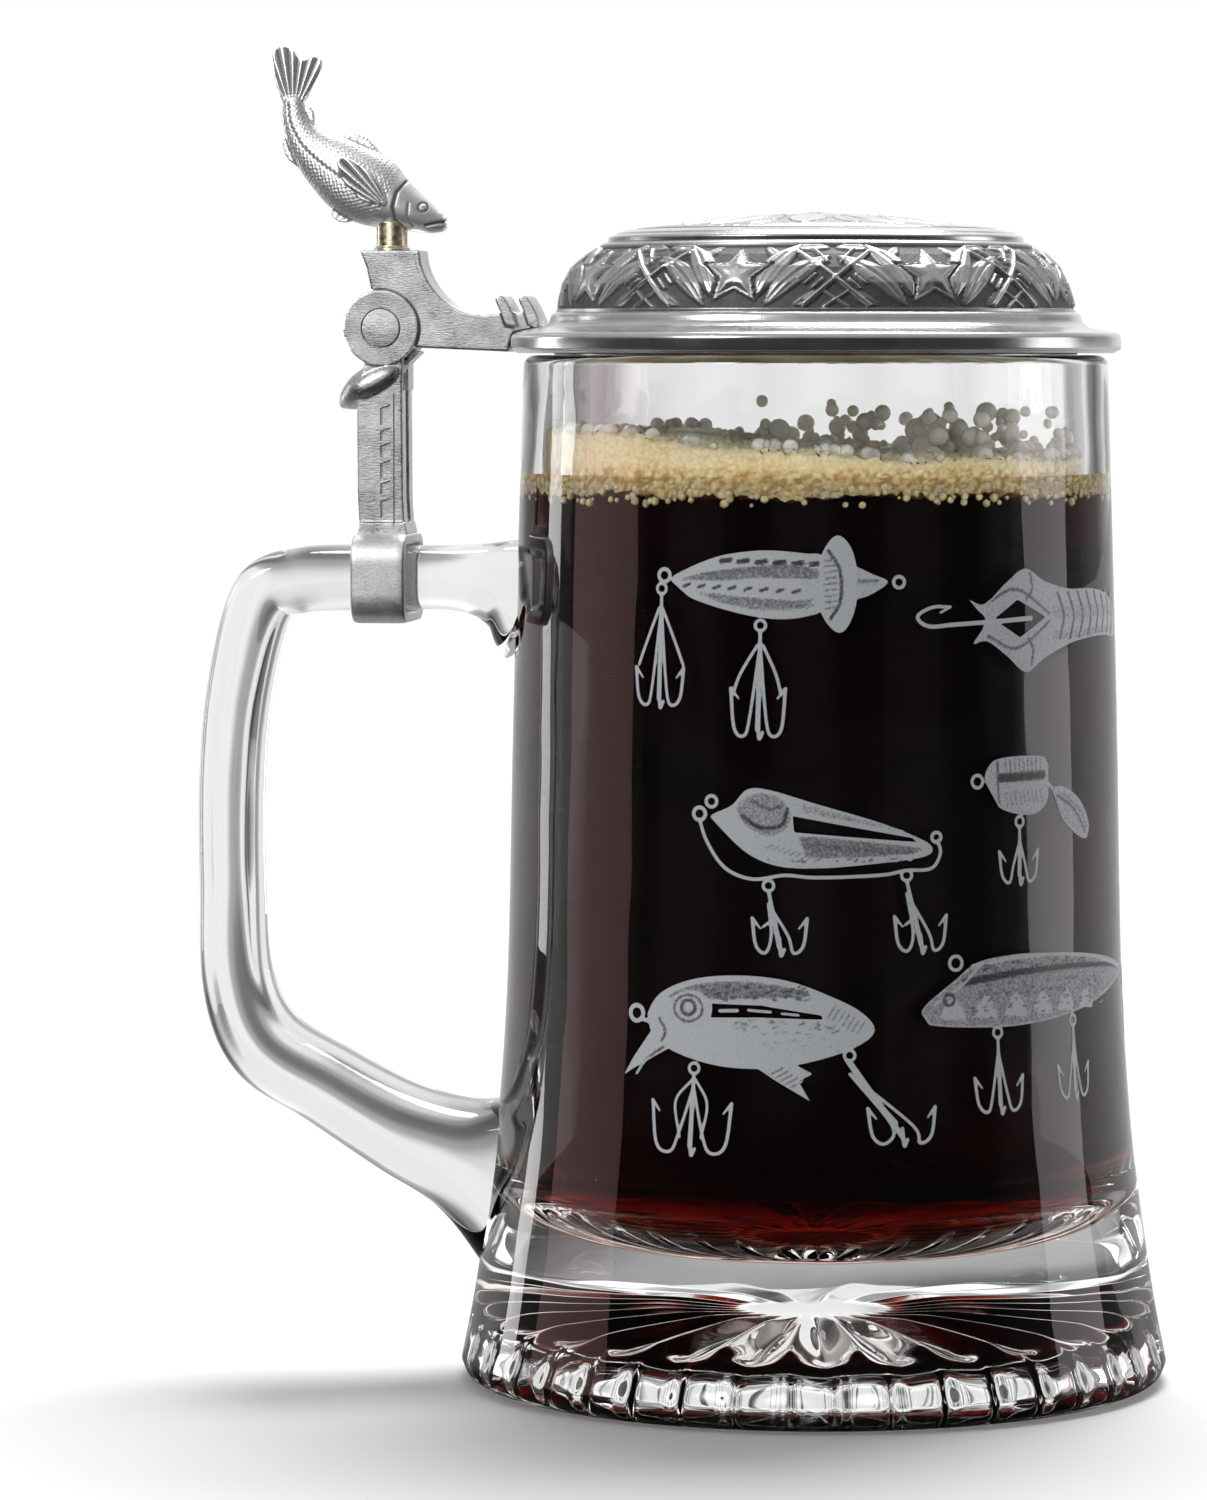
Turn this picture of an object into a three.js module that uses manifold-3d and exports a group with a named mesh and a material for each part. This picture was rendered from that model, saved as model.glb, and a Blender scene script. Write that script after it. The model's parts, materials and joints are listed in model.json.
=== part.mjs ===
// Half-litre glass stein with a hinged pewter lid and a fish-shaped thumb-lift.
// Millimetres, +Z up. The glass stands on z = 0. The handle and the hinge are on the -X side,
// and the whole object is symmetric about the XZ plane.
import * as THREE from 'three';
import { mergeVertices } from 'three/addons/utils/BufferGeometryUtils.js';
import Module from 'manifold-3d';

const wasm = await Module();
wasm.setup();

// ---------------------------------------------------------------- driving dimensions

const GAP = 0.3; // clearance between neighbouring pieces
const FLUTES = 24; // star flutes pressed into the underside of the glass
const ROUND_SEGMENTS = 2 * FLUTES; // segments round the glass and the lid: a ridge and a valley a flute

const FOOT_RADIUS = 52.4;
const FOOT_FLAT = [45.6, 49.4]; // inner and outer radius of the ring that touches the table
const GLASS_HEIGHT = 152.1;
const MOUTH_RADIUS = 43.0;
const WALL = 3.8;
const CAVITY_FLOOR = 19.8;
const FLUTE_DEPTH = 0.9;

const HANDLE_REACH = 92.1; // from the glass axis to the outside of the handle
const HANDLE_SIDES = 16;
const HANDLE_STEPS = 30;
const ARM_HEIGHT = 119.0; // middle of the handle's level upper arm
const ARM_SECTION = [9.8, 17.4]; // its thickness and its width

const STRAP_X = [-68.0, -60.0];
const STRAP_THICKNESS = 1.5;

const HINGE = { x: -64.2, z: 156.1 };
const KNUCKLE_RADIUS = 5.6;
const OUTER_KNUCKLE_Y = [2.9, 5.0];
const INNER_KNUCKLE_HALF = 2.6;
const PIN_RADIUS = 1.6;
const PLUG_RADIUS = 2.85;
const PLUG_THICKNESS = 1.0;

const LEG_Y = [1.3, 4.9]; // each of the two legs of the shank, from the middle outwards
const TANG_HALF_WIDTH = 4.3;
const TANG_TOP = 167.4;

const LID_BASE = 152.5;
const FLANGE_RADIUS = 45.0;
const BAND_RADIUS = 38.2;
const BEZEL_RADIUS = 30.4;
const MEDALLION_RADIUS = 25.8;
const LIP_RADIUS = 38.6;

const POST_X = -63.2;
const POST_RADIUS = 2.5;
const STUD_RADIUS = 1.3;
const FISH_BELLY = 170.6;

// The origin is under the middle of the object's box, so the glass axis is moved along +X.
const GLASS_AXIS_X = (HANDLE_REACH - FOOT_RADIUS) / 2;

// ---------------------------------------------------------------- materials

const MATERIALS = {
  glass: { color: 0xe6eeee, roughness: 0.03, metalness: 0.0, opacity: 0.35, transparent: true },
  pewter: { color: 0xb4b6b8, roughness: 0.32, metalness: 1.0 },
  cast: { color: 0x9a9c9e, roughness: 0.42, metalness: 1.0 },
  patina: { color: 0x6f7173, roughness: 0.5, metalness: 1.0 },
  polished: { color: 0xd4d6d8, roughness: 0.2, metalness: 1.0 },
  steel: { color: 0x8b8f94, roughness: 0.35, metalness: 1.0 },
  brass: { color: 0xcbb77e, roughness: 0.3, metalness: 1.0 },
};

function piece(name, geometry, look) {
  const mesh = new THREE.Mesh(geometry, new THREE.MeshStandardMaterial(MATERIALS[look]));
  mesh.name = name;
  return mesh;
}

// ---------------------------------------------------------------- solid helpers

function merged(geometry) {
  const bare = geometry.clone();
  bare.deleteAttribute('normal');
  bare.deleteAttribute('uv');
  return mergeVertices(bare, 1e-4);
}

function toSolid(geometry) {
  const bare = merged(geometry);
  return new wasm.Manifold(new wasm.Mesh({
    numProp: 3,
    vertProperties: new Float32Array(bare.attributes.position.array),
    triVerts: new Uint32Array(bare.index.array),
  }));
}

function toGeometry(solid) {
  const mesh = solid.getMesh();
  const geometry = new THREE.BufferGeometry();
  geometry.setAttribute('position', new THREE.BufferAttribute(mesh.vertProperties, 3));
  geometry.setIndex(new THREE.BufferAttribute(mesh.triVerts, 1));
  geometry.computeVertexNormals();
  return geometry;
}

function join(...geometries) {
  return toGeometry(geometries.map(toSolid).reduce((whole, next) => whole.add(next)));
}

function cut(geometry, ...tools) {
  return toGeometry(tools.map(toSolid).reduce((rest, tool) => rest.subtract(tool), toSolid(geometry)));
}

// A solid of revolution about Z from [radius, z] pairs that run round the section anticlockwise.
function turned(profile, segments = ROUND_SEGMENTS) {
  const points = profile.map(([radius, z]) => new THREE.Vector2(radius, z));
  const onAxis = profile[0][0] === 0 && profile[profile.length - 1][0] === 0;
  if (!onAxis) {
    points.push(points[0].clone());
  }
  return new THREE.LatheGeometry(points, segments).rotateX(Math.PI / 2);
}

// A plate whose outline is drawn in the XZ plane, from y = from to y = to.
function plate(shape, from, to, curveSegments = 12) {
  const depth = to - from;
  const geometry = new THREE.ExtrudeGeometry(shape, { depth, bevelEnabled: false, curveSegments });
  return geometry.rotateX(Math.PI / 2).translate(0, to, 0);
}

function outline(points) {
  return new THREE.Shape(points.map(([x, z]) => new THREE.Vector2(x, z)));
}

// A disc or rod along Y, centred on the hinge axis.
function hingeDisc(radius, from, to, segments = 32) {
  const rod = new THREE.CylinderGeometry(radius, radius, to - from, segments);
  return rod.translate(HINGE.x, (from + to) / 2, HINGE.z);
}

function rodZ(radius, x, from, to, segments = 20) {
  const rod = new THREE.CylinderGeometry(radius, radius, to - from, segments).rotateX(Math.PI / 2);
  return rod.translate(x, 0, (from + to) / 2);
}

// A closed skin over rings of points, with a flat cap on each end.
function loft(rings) {
  const count = rings[0].length;
  const positions = rings.flat().flatMap((point) => point.toArray());
  const middle = (ring) => ring.reduce((sum, point) => sum.add(point), new THREE.Vector3())
    .divideScalar(count);
  positions.push(...middle(rings[0]).toArray());
  positions.push(...middle(rings[rings.length - 1]).toArray());
  const startCap = rings.length * count;
  const index = [];
  for (let side = 0; side < count; side += 1) {
    const next = (side + 1) % count;
    for (let ring = 0; ring < rings.length - 1; ring += 1) {
      const here = ring * count;
      const there = here + count;
      index.push(here + side, here + next, there + next);
      index.push(here + side, there + next, there + side);
    }
    const last = (rings.length - 1) * count;
    index.push(startCap, next, side);
    index.push(startCap + 1, last + side, last + next);
  }
  const geometry = new THREE.BufferGeometry();
  geometry.setAttribute('position', new THREE.Float32BufferAttribute(positions, 3));
  geometry.setIndex(index);
  return geometry;
}

// A loft along a path in the XZ plane. Each station is [x, z, thickness, width]; thickness is
// measured across the path in the plane and width along Y. squareness 2 is an ellipse.
function sweep(stations, steps, sides, squareness) {
  const path = new THREE.CatmullRomCurve3(stations.map(([x, z]) => new THREE.Vector3(x, 0, z)));
  const sizes = new THREE.CatmullRomCurve3(stations.map(([, , t, w]) => new THREE.Vector3(t, w, 0)));
  const bulge = (value) => Math.sign(value) * Math.abs(value) ** (2 / squareness);
  const rings = [];
  for (let step = 0; step <= steps; step += 1) {
    const at = step / steps;
    const centre = path.getPoint(at);
    const along = path.getTangent(at);
    const across = new THREE.Vector3(along.z, 0, -along.x);
    const size = sizes.getPoint(at);
    const ring = [];
    for (let side = 0; side < sides; side += 1) {
      const angle = (2 * Math.PI * (side + 0.5)) / sides;
      const point = centre.clone().addScaledVector(across, (size.x / 2) * bulge(Math.cos(angle)));
      point.y += (size.y / 2) * bulge(Math.sin(angle));
      ring.push(point);
    }
    rings.push(ring);
  }
  return loft(rings);
}

// ---------------------------------------------------------------- glass

function glassOutside() {
  const flank = new THREE.SplineCurve([
    [FOOT_RADIUS, 3.2], [50.5, 13], [48.5, 26.4], [46.9, 40], [45.5, 62], [44.6, 102],
    [MOUTH_RADIUS + 0.1, GLASS_HEIGHT - 1.2],
  ].map(([radius, z]) => new THREE.Vector2(radius, z)));
  return flank.getPoints(11).map((point) => [point.x, point.y]);
}

function glassInside() {
  const corner = new THREE.CubicBezierCurve(
    new THREE.Vector2(42.0, 50),
    new THREE.Vector2(41.6, 33),
    new THREE.Vector2(36.0, CAVITY_FLOOR + 1.6),
    new THREE.Vector2(22, CAVITY_FLOOR + 0.4),
  );
  return [
    [MOUTH_RADIUS - WALL, GLASS_HEIGHT - 1.2],
    [44.6 - WALL, 102],
    ...corner.getPoints(6).map((point) => [point.x, point.y]),
    [0, CAVITY_FLOOR],
  ];
}

// The underside: a flat foot ring round a shallow recess whose wall and ceiling carry a star of
// flutes. Every second meridian of the recess is a valley, so the flutes need no extra points.
const RECESS = [[0, 10.2], [7, 10.0], [20, 9.2], [34, 8.2], [41.5, 6.6], [44.2, 2.2]];
const FLUTED_RADII = [20, 34, 41.5];

function fluteUnderside(geometry) {
  const position = geometry.attributes.position;
  for (let i = 0; i < position.count; i += 1) {
    const radius = Math.hypot(position.getX(i), position.getY(i));
    const turn = Math.atan2(position.getY(i), position.getX(i)) / (2 * Math.PI);
    const meridian = Math.round(turn * ROUND_SEGMENTS);
    const fluted = FLUTED_RADII.some((value) => Math.abs(value - radius) < 0.01);
    if (fluted && position.getZ(i) < CAVITY_FLOOR * 0.6) {
      const side = meridian % 2 === 0 ? 1 : -1;
      position.setZ(i, position.getZ(i) + side * FLUTE_DEPTH);
    }
  }
  return geometry;
}

function glassBody() {
  const rimOutside = [MOUTH_RADIUS - 0.9, GLASS_HEIGHT];
  const rimInside = [MOUTH_RADIUS - WALL + 0.9, GLASS_HEIGHT];
  const profile = [
    ...RECESS,
    [FOOT_FLAT[0], 0],
    [FOOT_FLAT[1], 0],
    [51.6, 1.1],
    ...glassOutside(),
    rimOutside,
    rimInside,
    ...glassInside(),
  ];
  return fluteUnderside(turned(profile));
}

function glassHandle() {
  const bar = -HANDLE_REACH + 4.4; // middle of the upright bar
  return sweep([
    [-42.0, 116.4, 20.0, 20.5],
    [-46.6, 118.2, 13.2, 18.8],
    [-53, ARM_HEIGHT, ARM_SECTION[0], 17.6],
    [-66, ARM_HEIGHT, ...ARM_SECTION],
    [-76.5, ARM_HEIGHT - 0.4, ...ARM_SECTION],
    [-82.6, 115.9, 9.4, 17.2],
    [-84.8, 103.8, 8.9, 17.2],
    [bar, 88, 8.8, 17.2],
    [bar, 72, 8.9, 17.2],
    [-86.6, 57.4, 9.8, 17.4],
    [-82.4, 48.8, 11.2, 17.8],
    [-72.6, 42.6, 11.4, 18.6],
    [-62, 36.6, 13.0, 20.2],
    [-52.8, 32.8, 16.6, 22.2],
    [-44.4, 29.8, 28.0, 24.0],
  ], HANDLE_STEPS, HANDLE_SIDES, 3.2);
}

function glassStein() {
  return join(glassBody(), glassHandle());
}

// ---------------------------------------------------------------- strap and shank

function roundedRectangle(halfWidth, low, high, radius) {
  const shape = new THREE.Shape();
  shape.moveTo(-halfWidth + radius, low);
  shape.lineTo(halfWidth - radius, low);
  shape.absarc(halfWidth - radius, low + radius, radius, -Math.PI / 2, 0);
  shape.lineTo(halfWidth, high - radius);
  shape.absarc(halfWidth - radius, high - radius, radius, 0, Math.PI / 2);
  shape.lineTo(-halfWidth + radius, high);
  shape.absarc(-halfWidth + radius, high - radius, radius, Math.PI / 2, Math.PI);
  shape.lineTo(-halfWidth, low + radius);
  shape.absarc(-halfWidth + radius, low + radius, radius, Math.PI, 1.5 * Math.PI);
  return shape;
}

const STRAP_TOP = ARM_HEIGHT + ARM_SECTION[0] / 2 + GAP + STRAP_THICKNESS;

// A band soldered shut round the handle's upper arm.
function handleStrap() {
  const halfWidth = ARM_SECTION[1] / 2 + GAP;
  const low = ARM_HEIGHT - ARM_SECTION[0] / 2 - GAP;
  const high = ARM_HEIGHT + ARM_SECTION[0] / 2 + GAP;
  const band = roundedRectangle(
    halfWidth + STRAP_THICKNESS,
    low - STRAP_THICKNESS,
    high + STRAP_THICKNESS,
    3.6,
  );
  band.holes.push(roundedRectangle(halfWidth, low, high, 2.0));
  const depth = STRAP_X[1] - STRAP_X[0];
  const geometry = new THREE.ExtrudeGeometry(band, { depth, bevelEnabled: false, curveSegments: 4 });
  return geometry.rotateX(Math.PI / 2).rotateZ(Math.PI / 2).translate(STRAP_X[0], 0, 0);
}

// One casting: a foot on the strap, two legs with a channel between them, a leaf on the back of
// the neck, a stop tongue on its front and the two outer knuckles.
function hingeShank() {
  const foot = STRAP_TOP + GAP;
  const leg = outline([
    [-67.4, foot], [-60.6, foot], [-61.0, 131], [-61.1, 147.5], [-60.9, 151.4],
    [-66.4, 151.4], [-67.8, 147.5], [-67.7, 131],
  ]);
  const web = outline([
    [-67.4, foot], [-65.2, foot], [-65.6, 131], [-65.2, 145], [-61.2, 147.2], [-61.2, 149.2],
    [-66.4, 149.2], [-67.8, 147.5], [-67.7, 131],
  ]);
  const leaf = outline([
    [-66.2, 151.0], [-68.2, 149.0], [-69.8, 146.4], [-69.2, 145.2], [-66.8, 145.2], [-65.6, 147.5],
  ]);
  const tongue = outline([
    [-62.6, 146.9], [-60.4, 146.9], [-60.4, 150.9], [-58.6, 152.7], [-59.8, 152.8], [-62.6, 150.5],
  ]);
  const footPlate = outline([[-67.8, foot], [-60.2, foot], [-60.6, foot + 1.6], [-67.2, foot + 1.6]]);
  const parts = [
    plate(web, -LEG_Y[0] - 0.1, LEG_Y[0] + 0.1),
    plate(leaf, -3.8, 3.8),
    plate(tongue, -INNER_KNUCKLE_HALF, INNER_KNUCKLE_HALF),
    plate(footPlate, -LEG_Y[1] - 0.4, LEG_Y[1] + 0.4),
  ];
  for (const side of [-1, 1]) {
    const span = (pair) => [side * pair[0], side * pair[1]].sort((a, b) => a - b);
    parts.push(plate(leg, ...span(LEG_Y)));
    parts.push(hingeDisc(KNUCKLE_RADIUS, ...span(OUTER_KNUCKLE_Y)));
  }
  const reach = OUTER_KNUCKLE_Y[1] + 1;
  const seat = OUTER_KNUCKLE_Y[1] - PLUG_THICKNESS - GAP;
  return cut(
    join(...parts),
    hingeDisc(KNUCKLE_RADIUS + 0.35, -OUTER_KNUCKLE_Y[0], OUTER_KNUCKLE_Y[0]),
    hingeDisc(PIN_RADIUS + GAP, -reach, reach, 20),
    hingeDisc(PLUG_RADIUS + GAP, seat, reach),
    hingeDisc(PLUG_RADIUS + GAP, -reach, -seat),
  );
}

function hingePin() {
  const half = OUTER_KNUCKLE_Y[1] - PLUG_THICKNESS - GAP;
  return hingeDisc(PIN_RADIUS, -half, half, 20);
}

function pinPlug(side) {
  const ends = [OUTER_KNUCKLE_Y[1] - PLUG_THICKNESS, OUTER_KNUCKLE_Y[1] + 0.1];
  const span = ends.map((y) => side * y).sort((a, b) => a - b);
  return hingeDisc(PLUG_RADIUS, ...span);
}

// ---------------------------------------------------------------- lid

// The lid's arm: a block that carries the thumb-lift over the hinge, a concave sweep down to the
// flange, two small ribs where it meets the flange, and the middle knuckle.
function lidTang() {
  const sweepCentre = { x: -48.6, z: 167.9 };
  const sweepRadius = 9.85;
  const shape = new THREE.Shape();
  shape.moveTo(-67.4, TANG_TOP);
  shape.lineTo(-66.4, 165.0);
  shape.lineTo(-65.6, 161.2);
  shape.lineTo(HINGE.x, HINGE.z);
  shape.lineTo(-59.2, 153.2);
  shape.lineTo(-FLANGE_RADIUS - GAP, LID_BASE + 0.1);
  shape.lineTo(-FLANGE_RADIUS - GAP, 155.2);
  shape.lineTo(-44.6, 155.7);
  shape.lineTo(-41.2, 156.5);
  shape.lineTo(-41.6, 158.6);
  shape.lineTo(-46.0, 158.3);
  shape.absarc(sweepCentre.x, sweepCentre.z, sweepRadius, 1.5 * Math.PI, 1.01 * Math.PI, true);
  shape.lineTo(-58.5, TANG_TOP);
  const rib = (x) => outline([[x - 1.0, 156.6], [x, 156.6], [x - 0.9, 159.9], [x - 1.9, 159.9]]);
  const knuckleSide = TANG_HALF_WIDTH + 1;
  const arm = cut(
    plate(shape, -TANG_HALF_WIDTH, TANG_HALF_WIDTH),
    hingeDisc(KNUCKLE_RADIUS + 0.35, INNER_KNUCKLE_HALF, knuckleSide),
    hingeDisc(KNUCKLE_RADIUS + 0.35, -knuckleSide, -INNER_KNUCKLE_HALF),
  );
  const whole = join(
    arm,
    plate(rib(-42.2), -TANG_HALF_WIDTH - 0.4, TANG_HALF_WIDTH + 0.4),
    plate(rib(-40.6), -TANG_HALF_WIDTH - 0.4, TANG_HALF_WIDTH + 0.4),
    hingeDisc(KNUCKLE_RADIUS, -INNER_KNUCKLE_HALF, INNER_KNUCKLE_HALF),
  );
  return cut(
    whole,
    hingeDisc(PIN_RADIUS + GAP, -knuckleSide, knuckleSide, 20),
    rodZ(STUD_RADIUS + GAP, POST_X, TANG_TOP - 4.2, TANG_TOP + 1),
  );
}

function lidRim() {
  return turned([
    [36.2, LID_BASE], [44.7, LID_BASE], [FLANGE_RADIUS, LID_BASE + 0.3],
    [FLANGE_RADIUS, LID_BASE + 2.2], [44.4, LID_BASE + 2.9], [39.2, LID_BASE + 4.1],
    [38.8, LID_BASE + 5.7], [36.2, LID_BASE + 5.7],
  ]);
}

// A locating lip that drops just inside the mouth of the glass.
function lidLip() {
  return turned([
    [LIP_RADIUS - 1.2, 151.0], [LIP_RADIUS, 151.0],
    [LIP_RADIUS, LID_BASE - GAP], [LIP_RADIUS - 1.2, LID_BASE - GAP],
  ]);
}

function lidReliefBand() {
  return turned([
    [35.8, 158.5], [BAND_RADIUS, 158.5], [37.9, 160.2], [37.3, 162.5], [36.0, 164.9],
    [33.4, 167.2], [31.2, 168.4], [24.2, 168.4], [24.2, 167.0], [30.6, 167.0],
    [33.8, 164.4], [35.4, 161.2],
  ]);
}

function lidTopRing() {
  const low = 168.4 + GAP;
  const inside = MEDALLION_RADIUS + GAP;
  return turned([
    [inside, low], [BEZEL_RADIUS, low], [BEZEL_RADIUS, 169.5], [29.4, 170.2], [inside, 170.6],
  ]);
}

function lidMedallion() {
  const low = 168.4 + GAP;
  return turned([
    [0, low], [MEDALLION_RADIUS, low], [MEDALLION_RADIUS, 170.6], [20, 171.3], [10, 172.5],
    [0, 172.9],
  ]);
}

// ---------------------------------------------------------------- thumb-lift

// A brass stud with a collar, screwed into the lid's arm below and into the fish above.
function thumbliftPost() {
  const stud = turned([
    [0, TANG_TOP - 3.9], [STUD_RADIUS, TANG_TOP - 3.9], [STUD_RADIUS, TANG_TOP + GAP],
    [POST_RADIUS + 0.3, TANG_TOP + GAP], [POST_RADIUS, TANG_TOP + 0.9],
    [POST_RADIUS, FISH_BELLY - GAP], [STUD_RADIUS, FISH_BELLY - GAP],
    [STUD_RADIUS, FISH_BELLY + 2.0], [0, FISH_BELLY + 2.0],
  ], 20);
  return stud.translate(POST_X, 0, 0);
}

function tailFin() {
  const fan = new THREE.Shape();
  fan.moveTo(-79.5, 190.0);
  fan.lineTo(-80.9, 195.3);
  fan.quadraticCurveTo(-81.3, 198.0, -79.4, 198.0);
  fan.quadraticCurveTo(-78.4, 197.8, -77.0, 196.5);
  fan.lineTo(-75.0, 196.4);
  fan.quadraticCurveTo(-73.3, 195.9, -74.2, 194.0);
  fan.lineTo(-76.6, 190.0);
  return fan;
}

const FISH_FINS = [
  { name: 'dorsal', points: [[-70.5, 183.5], [-69.2, 185.0], [-66.6, 184.7], [-64.2, 180.8]], half: 0.5 },
  { name: 'adipose', points: [[-76.6, 187.2], [-75.9, 189.0], [-74.8, 187.2], [-75.4, 185.8]], half: 0.45 },
  { name: 'anal', points: [[-77.6, 183.2], [-79.6, 183.4], [-79.0, 181.2], [-76.2, 180.0]], half: 0.45 },
];

// The pectoral fin lies against the flank and is drawn swept back towards the tail.
function pectoralFin(side) {
  const fin = outline([[-64.0, 174.6], [-65.0, 178.2], [-69.6, 181.0], [-70.4, 179.8], [-66.4, 175.0]]);
  const span = [side * 2.0, side * 3.7].sort((a, b) => a - b);
  return plate(fin, ...span);
}

function thumbliftFish() {
  const body = sweep([
    [-55.1, 171.8, 1.6, 1.3],
    [-57.5, 172.2, 3.8, 2.9],
    [-60.3, 173.4, 5.9, 4.4],
    [-63.4, 174.9, 8.6, 5.8],
    [-66.0, 176.4, 10.5, 6.6],
    [-68.8, 178.0, 10.8, 6.6],
    [-71.5, 179.9, 9.7, 5.8],
    [-74.2, 181.9, 7.6, 4.6],
    [-76.5, 184.1, 5.6, 3.6],
    [-77.8, 187.0, 4.0, 2.8],
    [-78.1, 190.6, 2.9, 2.0],
  ], 20, 12, 2);
  const fins = FISH_FINS.map((fin) => plate(outline(fin.points), -fin.half, fin.half));
  const saddle = rodZ(POST_RADIUS, POST_X, FISH_BELLY, FISH_BELLY + 3);
  const whole = join(
    body,
    plate(tailFin(), -0.6, 0.6, 4),
    ...fins,
    pectoralFin(-1),
    pectoralFin(1),
    saddle,
  );
  return cut(whole, rodZ(STUD_RADIUS + GAP, POST_X, FISH_BELLY - 1, FISH_BELLY + 2.4));
}

// ---------------------------------------------------------------- assembly

const stein = new THREE.Group();
stein.position.x = GLASS_AXIS_X;

stein.add(
  piece('glass_stein', glassStein(), 'glass'),
  piece('handle_strap', handleStrap(), 'cast'),
  piece('hinge_shank', hingeShank(), 'cast'),
  piece('hinge_pin', hingePin(), 'steel'),
  piece('pin_plug_front', pinPlug(-1), 'pewter'),
  piece('pin_plug_rear', pinPlug(1), 'pewter'),
);

const lid = new THREE.Group();
lid.add(
  piece('lid_tang', lidTang(), 'cast'),
  piece('lid_rim', lidRim(), 'pewter'),
  piece('lid_inner_lip', lidLip(), 'pewter'),
  piece('lid_relief_band', lidReliefBand(), 'patina'),
  piece('lid_top_ring', lidTopRing(), 'polished'),
  piece('lid_medallion', lidMedallion(), 'polished'),
  piece('thumblift_post', thumbliftPost(), 'brass'),
  piece('thumblift_fish', thumbliftFish(), 'cast'),
);
stein.add(lid);

export default stein;
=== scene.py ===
"""Looks of a half-litre glass stein: pressed glass with dark ale, foam and white enamel prints,
a pewter lid with a relief band, its hinge, and a cast fish as thumb-lift."""
import json
import math
import random

import bmesh
import bpy
import numpy as np
from mathutils import Matrix, Vector, kdtree


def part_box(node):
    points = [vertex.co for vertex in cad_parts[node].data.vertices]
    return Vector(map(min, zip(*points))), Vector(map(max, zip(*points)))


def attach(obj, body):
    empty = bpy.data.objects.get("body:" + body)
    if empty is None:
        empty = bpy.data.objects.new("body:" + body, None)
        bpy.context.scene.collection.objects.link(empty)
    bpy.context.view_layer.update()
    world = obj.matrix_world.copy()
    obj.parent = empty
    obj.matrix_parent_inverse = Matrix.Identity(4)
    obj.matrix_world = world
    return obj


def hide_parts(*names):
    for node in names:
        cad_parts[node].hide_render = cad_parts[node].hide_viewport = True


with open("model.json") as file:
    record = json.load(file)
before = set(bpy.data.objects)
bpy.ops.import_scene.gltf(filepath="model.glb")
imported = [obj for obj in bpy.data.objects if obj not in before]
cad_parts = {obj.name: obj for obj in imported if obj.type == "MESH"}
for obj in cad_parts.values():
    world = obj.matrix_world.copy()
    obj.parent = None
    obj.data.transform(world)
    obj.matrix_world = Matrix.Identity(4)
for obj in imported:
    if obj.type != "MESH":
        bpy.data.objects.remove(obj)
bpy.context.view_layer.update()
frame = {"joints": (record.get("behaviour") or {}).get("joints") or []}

# ---------------------------------------------------------------- frame and units
# Shapes are drawn in millimetres about the glass axis, as in the design, and moved to the frame last.

MM = 0.001
lid_low, lid_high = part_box("lid_rim")
AXIS_X = (lid_low.x + lid_high.x) / 2
TO_FRAME = Matrix.Translation((AXIS_X, 0, 0)) @ Matrix.Scale(MM, 4)


def box_mm(node):
    """The lowest and highest corners of a CAD node, in millimetres about the glass axis."""
    return [np.array([corner.x - AXIS_X, corner.y, corner.z]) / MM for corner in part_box(node)]


STRAP_LOW, STRAP_HIGH = box_mm("handle_strap")
GLASS_LOW, GLASS_HIGH = box_mm("glass_stein")
GLASS_TOP = GLASS_HIGH[2]
FOOT_RADIUS = GLASS_HIGH[0]
REACH = -GLASS_LOW[0]
TANG_TOP = box_mm("lid_tang")[1][2]
POST_TOP = box_mm("thumblift_post")[1][2]
hinge_at = frame["joints"][0]["pos_m"]
HINGE_X = (hinge_at[0] - AXIS_X) / MM
HINGE_Z = hinge_at[2] / MM

MOUTH_RADIUS = 43.0
WALL = 3.8
CAVITY_FLOOR = 19.8
FLAT_FLOOR_RADIUS = 23  # the floor of the cavity is nearly level out to here
FLUTES = 24
FOOT_BLOCKS = 36
BEER_TOP = 133.0
KNUCKLE_RADIUS = 5.6
KNUCKLE_ROOM = 5.95  # radius of the room cut for a neighbour's knuckle to turn in
BORE_RADIUS = 1.7
CAST_VOXEL = 0.16
STUD_X = -63.2  # the axis of the brass stud under the fish

# ---------------------------------------------------------------- camera, light and floor

CAMERA_BEARING = 7.0  # degrees off the plane square to the handle, towards +X
CAMERA_PITCH = 3.59  # degrees below the horizon
CAMERA_X = 83.25
CAMERA_DISTANCE = 934.82
CAMERA_HEIGHT = 152.5
LENS = 152.1
SENSOR = 36.0


def add_camera():
    """A long lens a little above the lid, turned slightly towards the handle's side."""
    data = bpy.data.cameras.new("camera")
    data.lens = LENS
    data.sensor_width = SENSOR
    data.clip_end = 50
    camera = bpy.data.objects.new("camera", data)
    bpy.context.scene.collection.objects.link(camera)
    camera.location = TO_FRAME @ Vector((CAMERA_X, -CAMERA_DISTANCE, CAMERA_HEIGHT))
    turn = math.radians(CAMERA_BEARING)
    pitch = math.radians(CAMERA_PITCH)
    gaze = Vector((-math.sin(turn) * math.cos(pitch), math.cos(turn) * math.cos(pitch), -math.sin(pitch)))
    camera.rotation_euler = gaze.to_track_quat("-Z", "Y").to_euler()
    bpy.context.scene.camera = camera


def fill_in(tree, node, inputs):
    """Sets a node's inputs; an input that is another node's socket is linked."""
    for name, value in inputs.items():
        if isinstance(value, bpy.types.NodeSocket):
            tree.links.new(value, node.inputs[name])
        else:
            node.inputs[name].default_value = value


def add_node(tree, kind, inputs=None, **settings):
    """A shader node with its settings and inputs."""
    node = tree.nodes.new("ShaderNode" + kind)
    for name, value in settings.items():
        setattr(node, name, value)
    fill_in(tree, node, inputs or {})
    return node


def sums(tree, operation, *values):
    """The result of a Math node over numbers or sockets."""
    return add_node(tree, "Math", dict(enumerate(values)), operation=operation).outputs[0]


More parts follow.
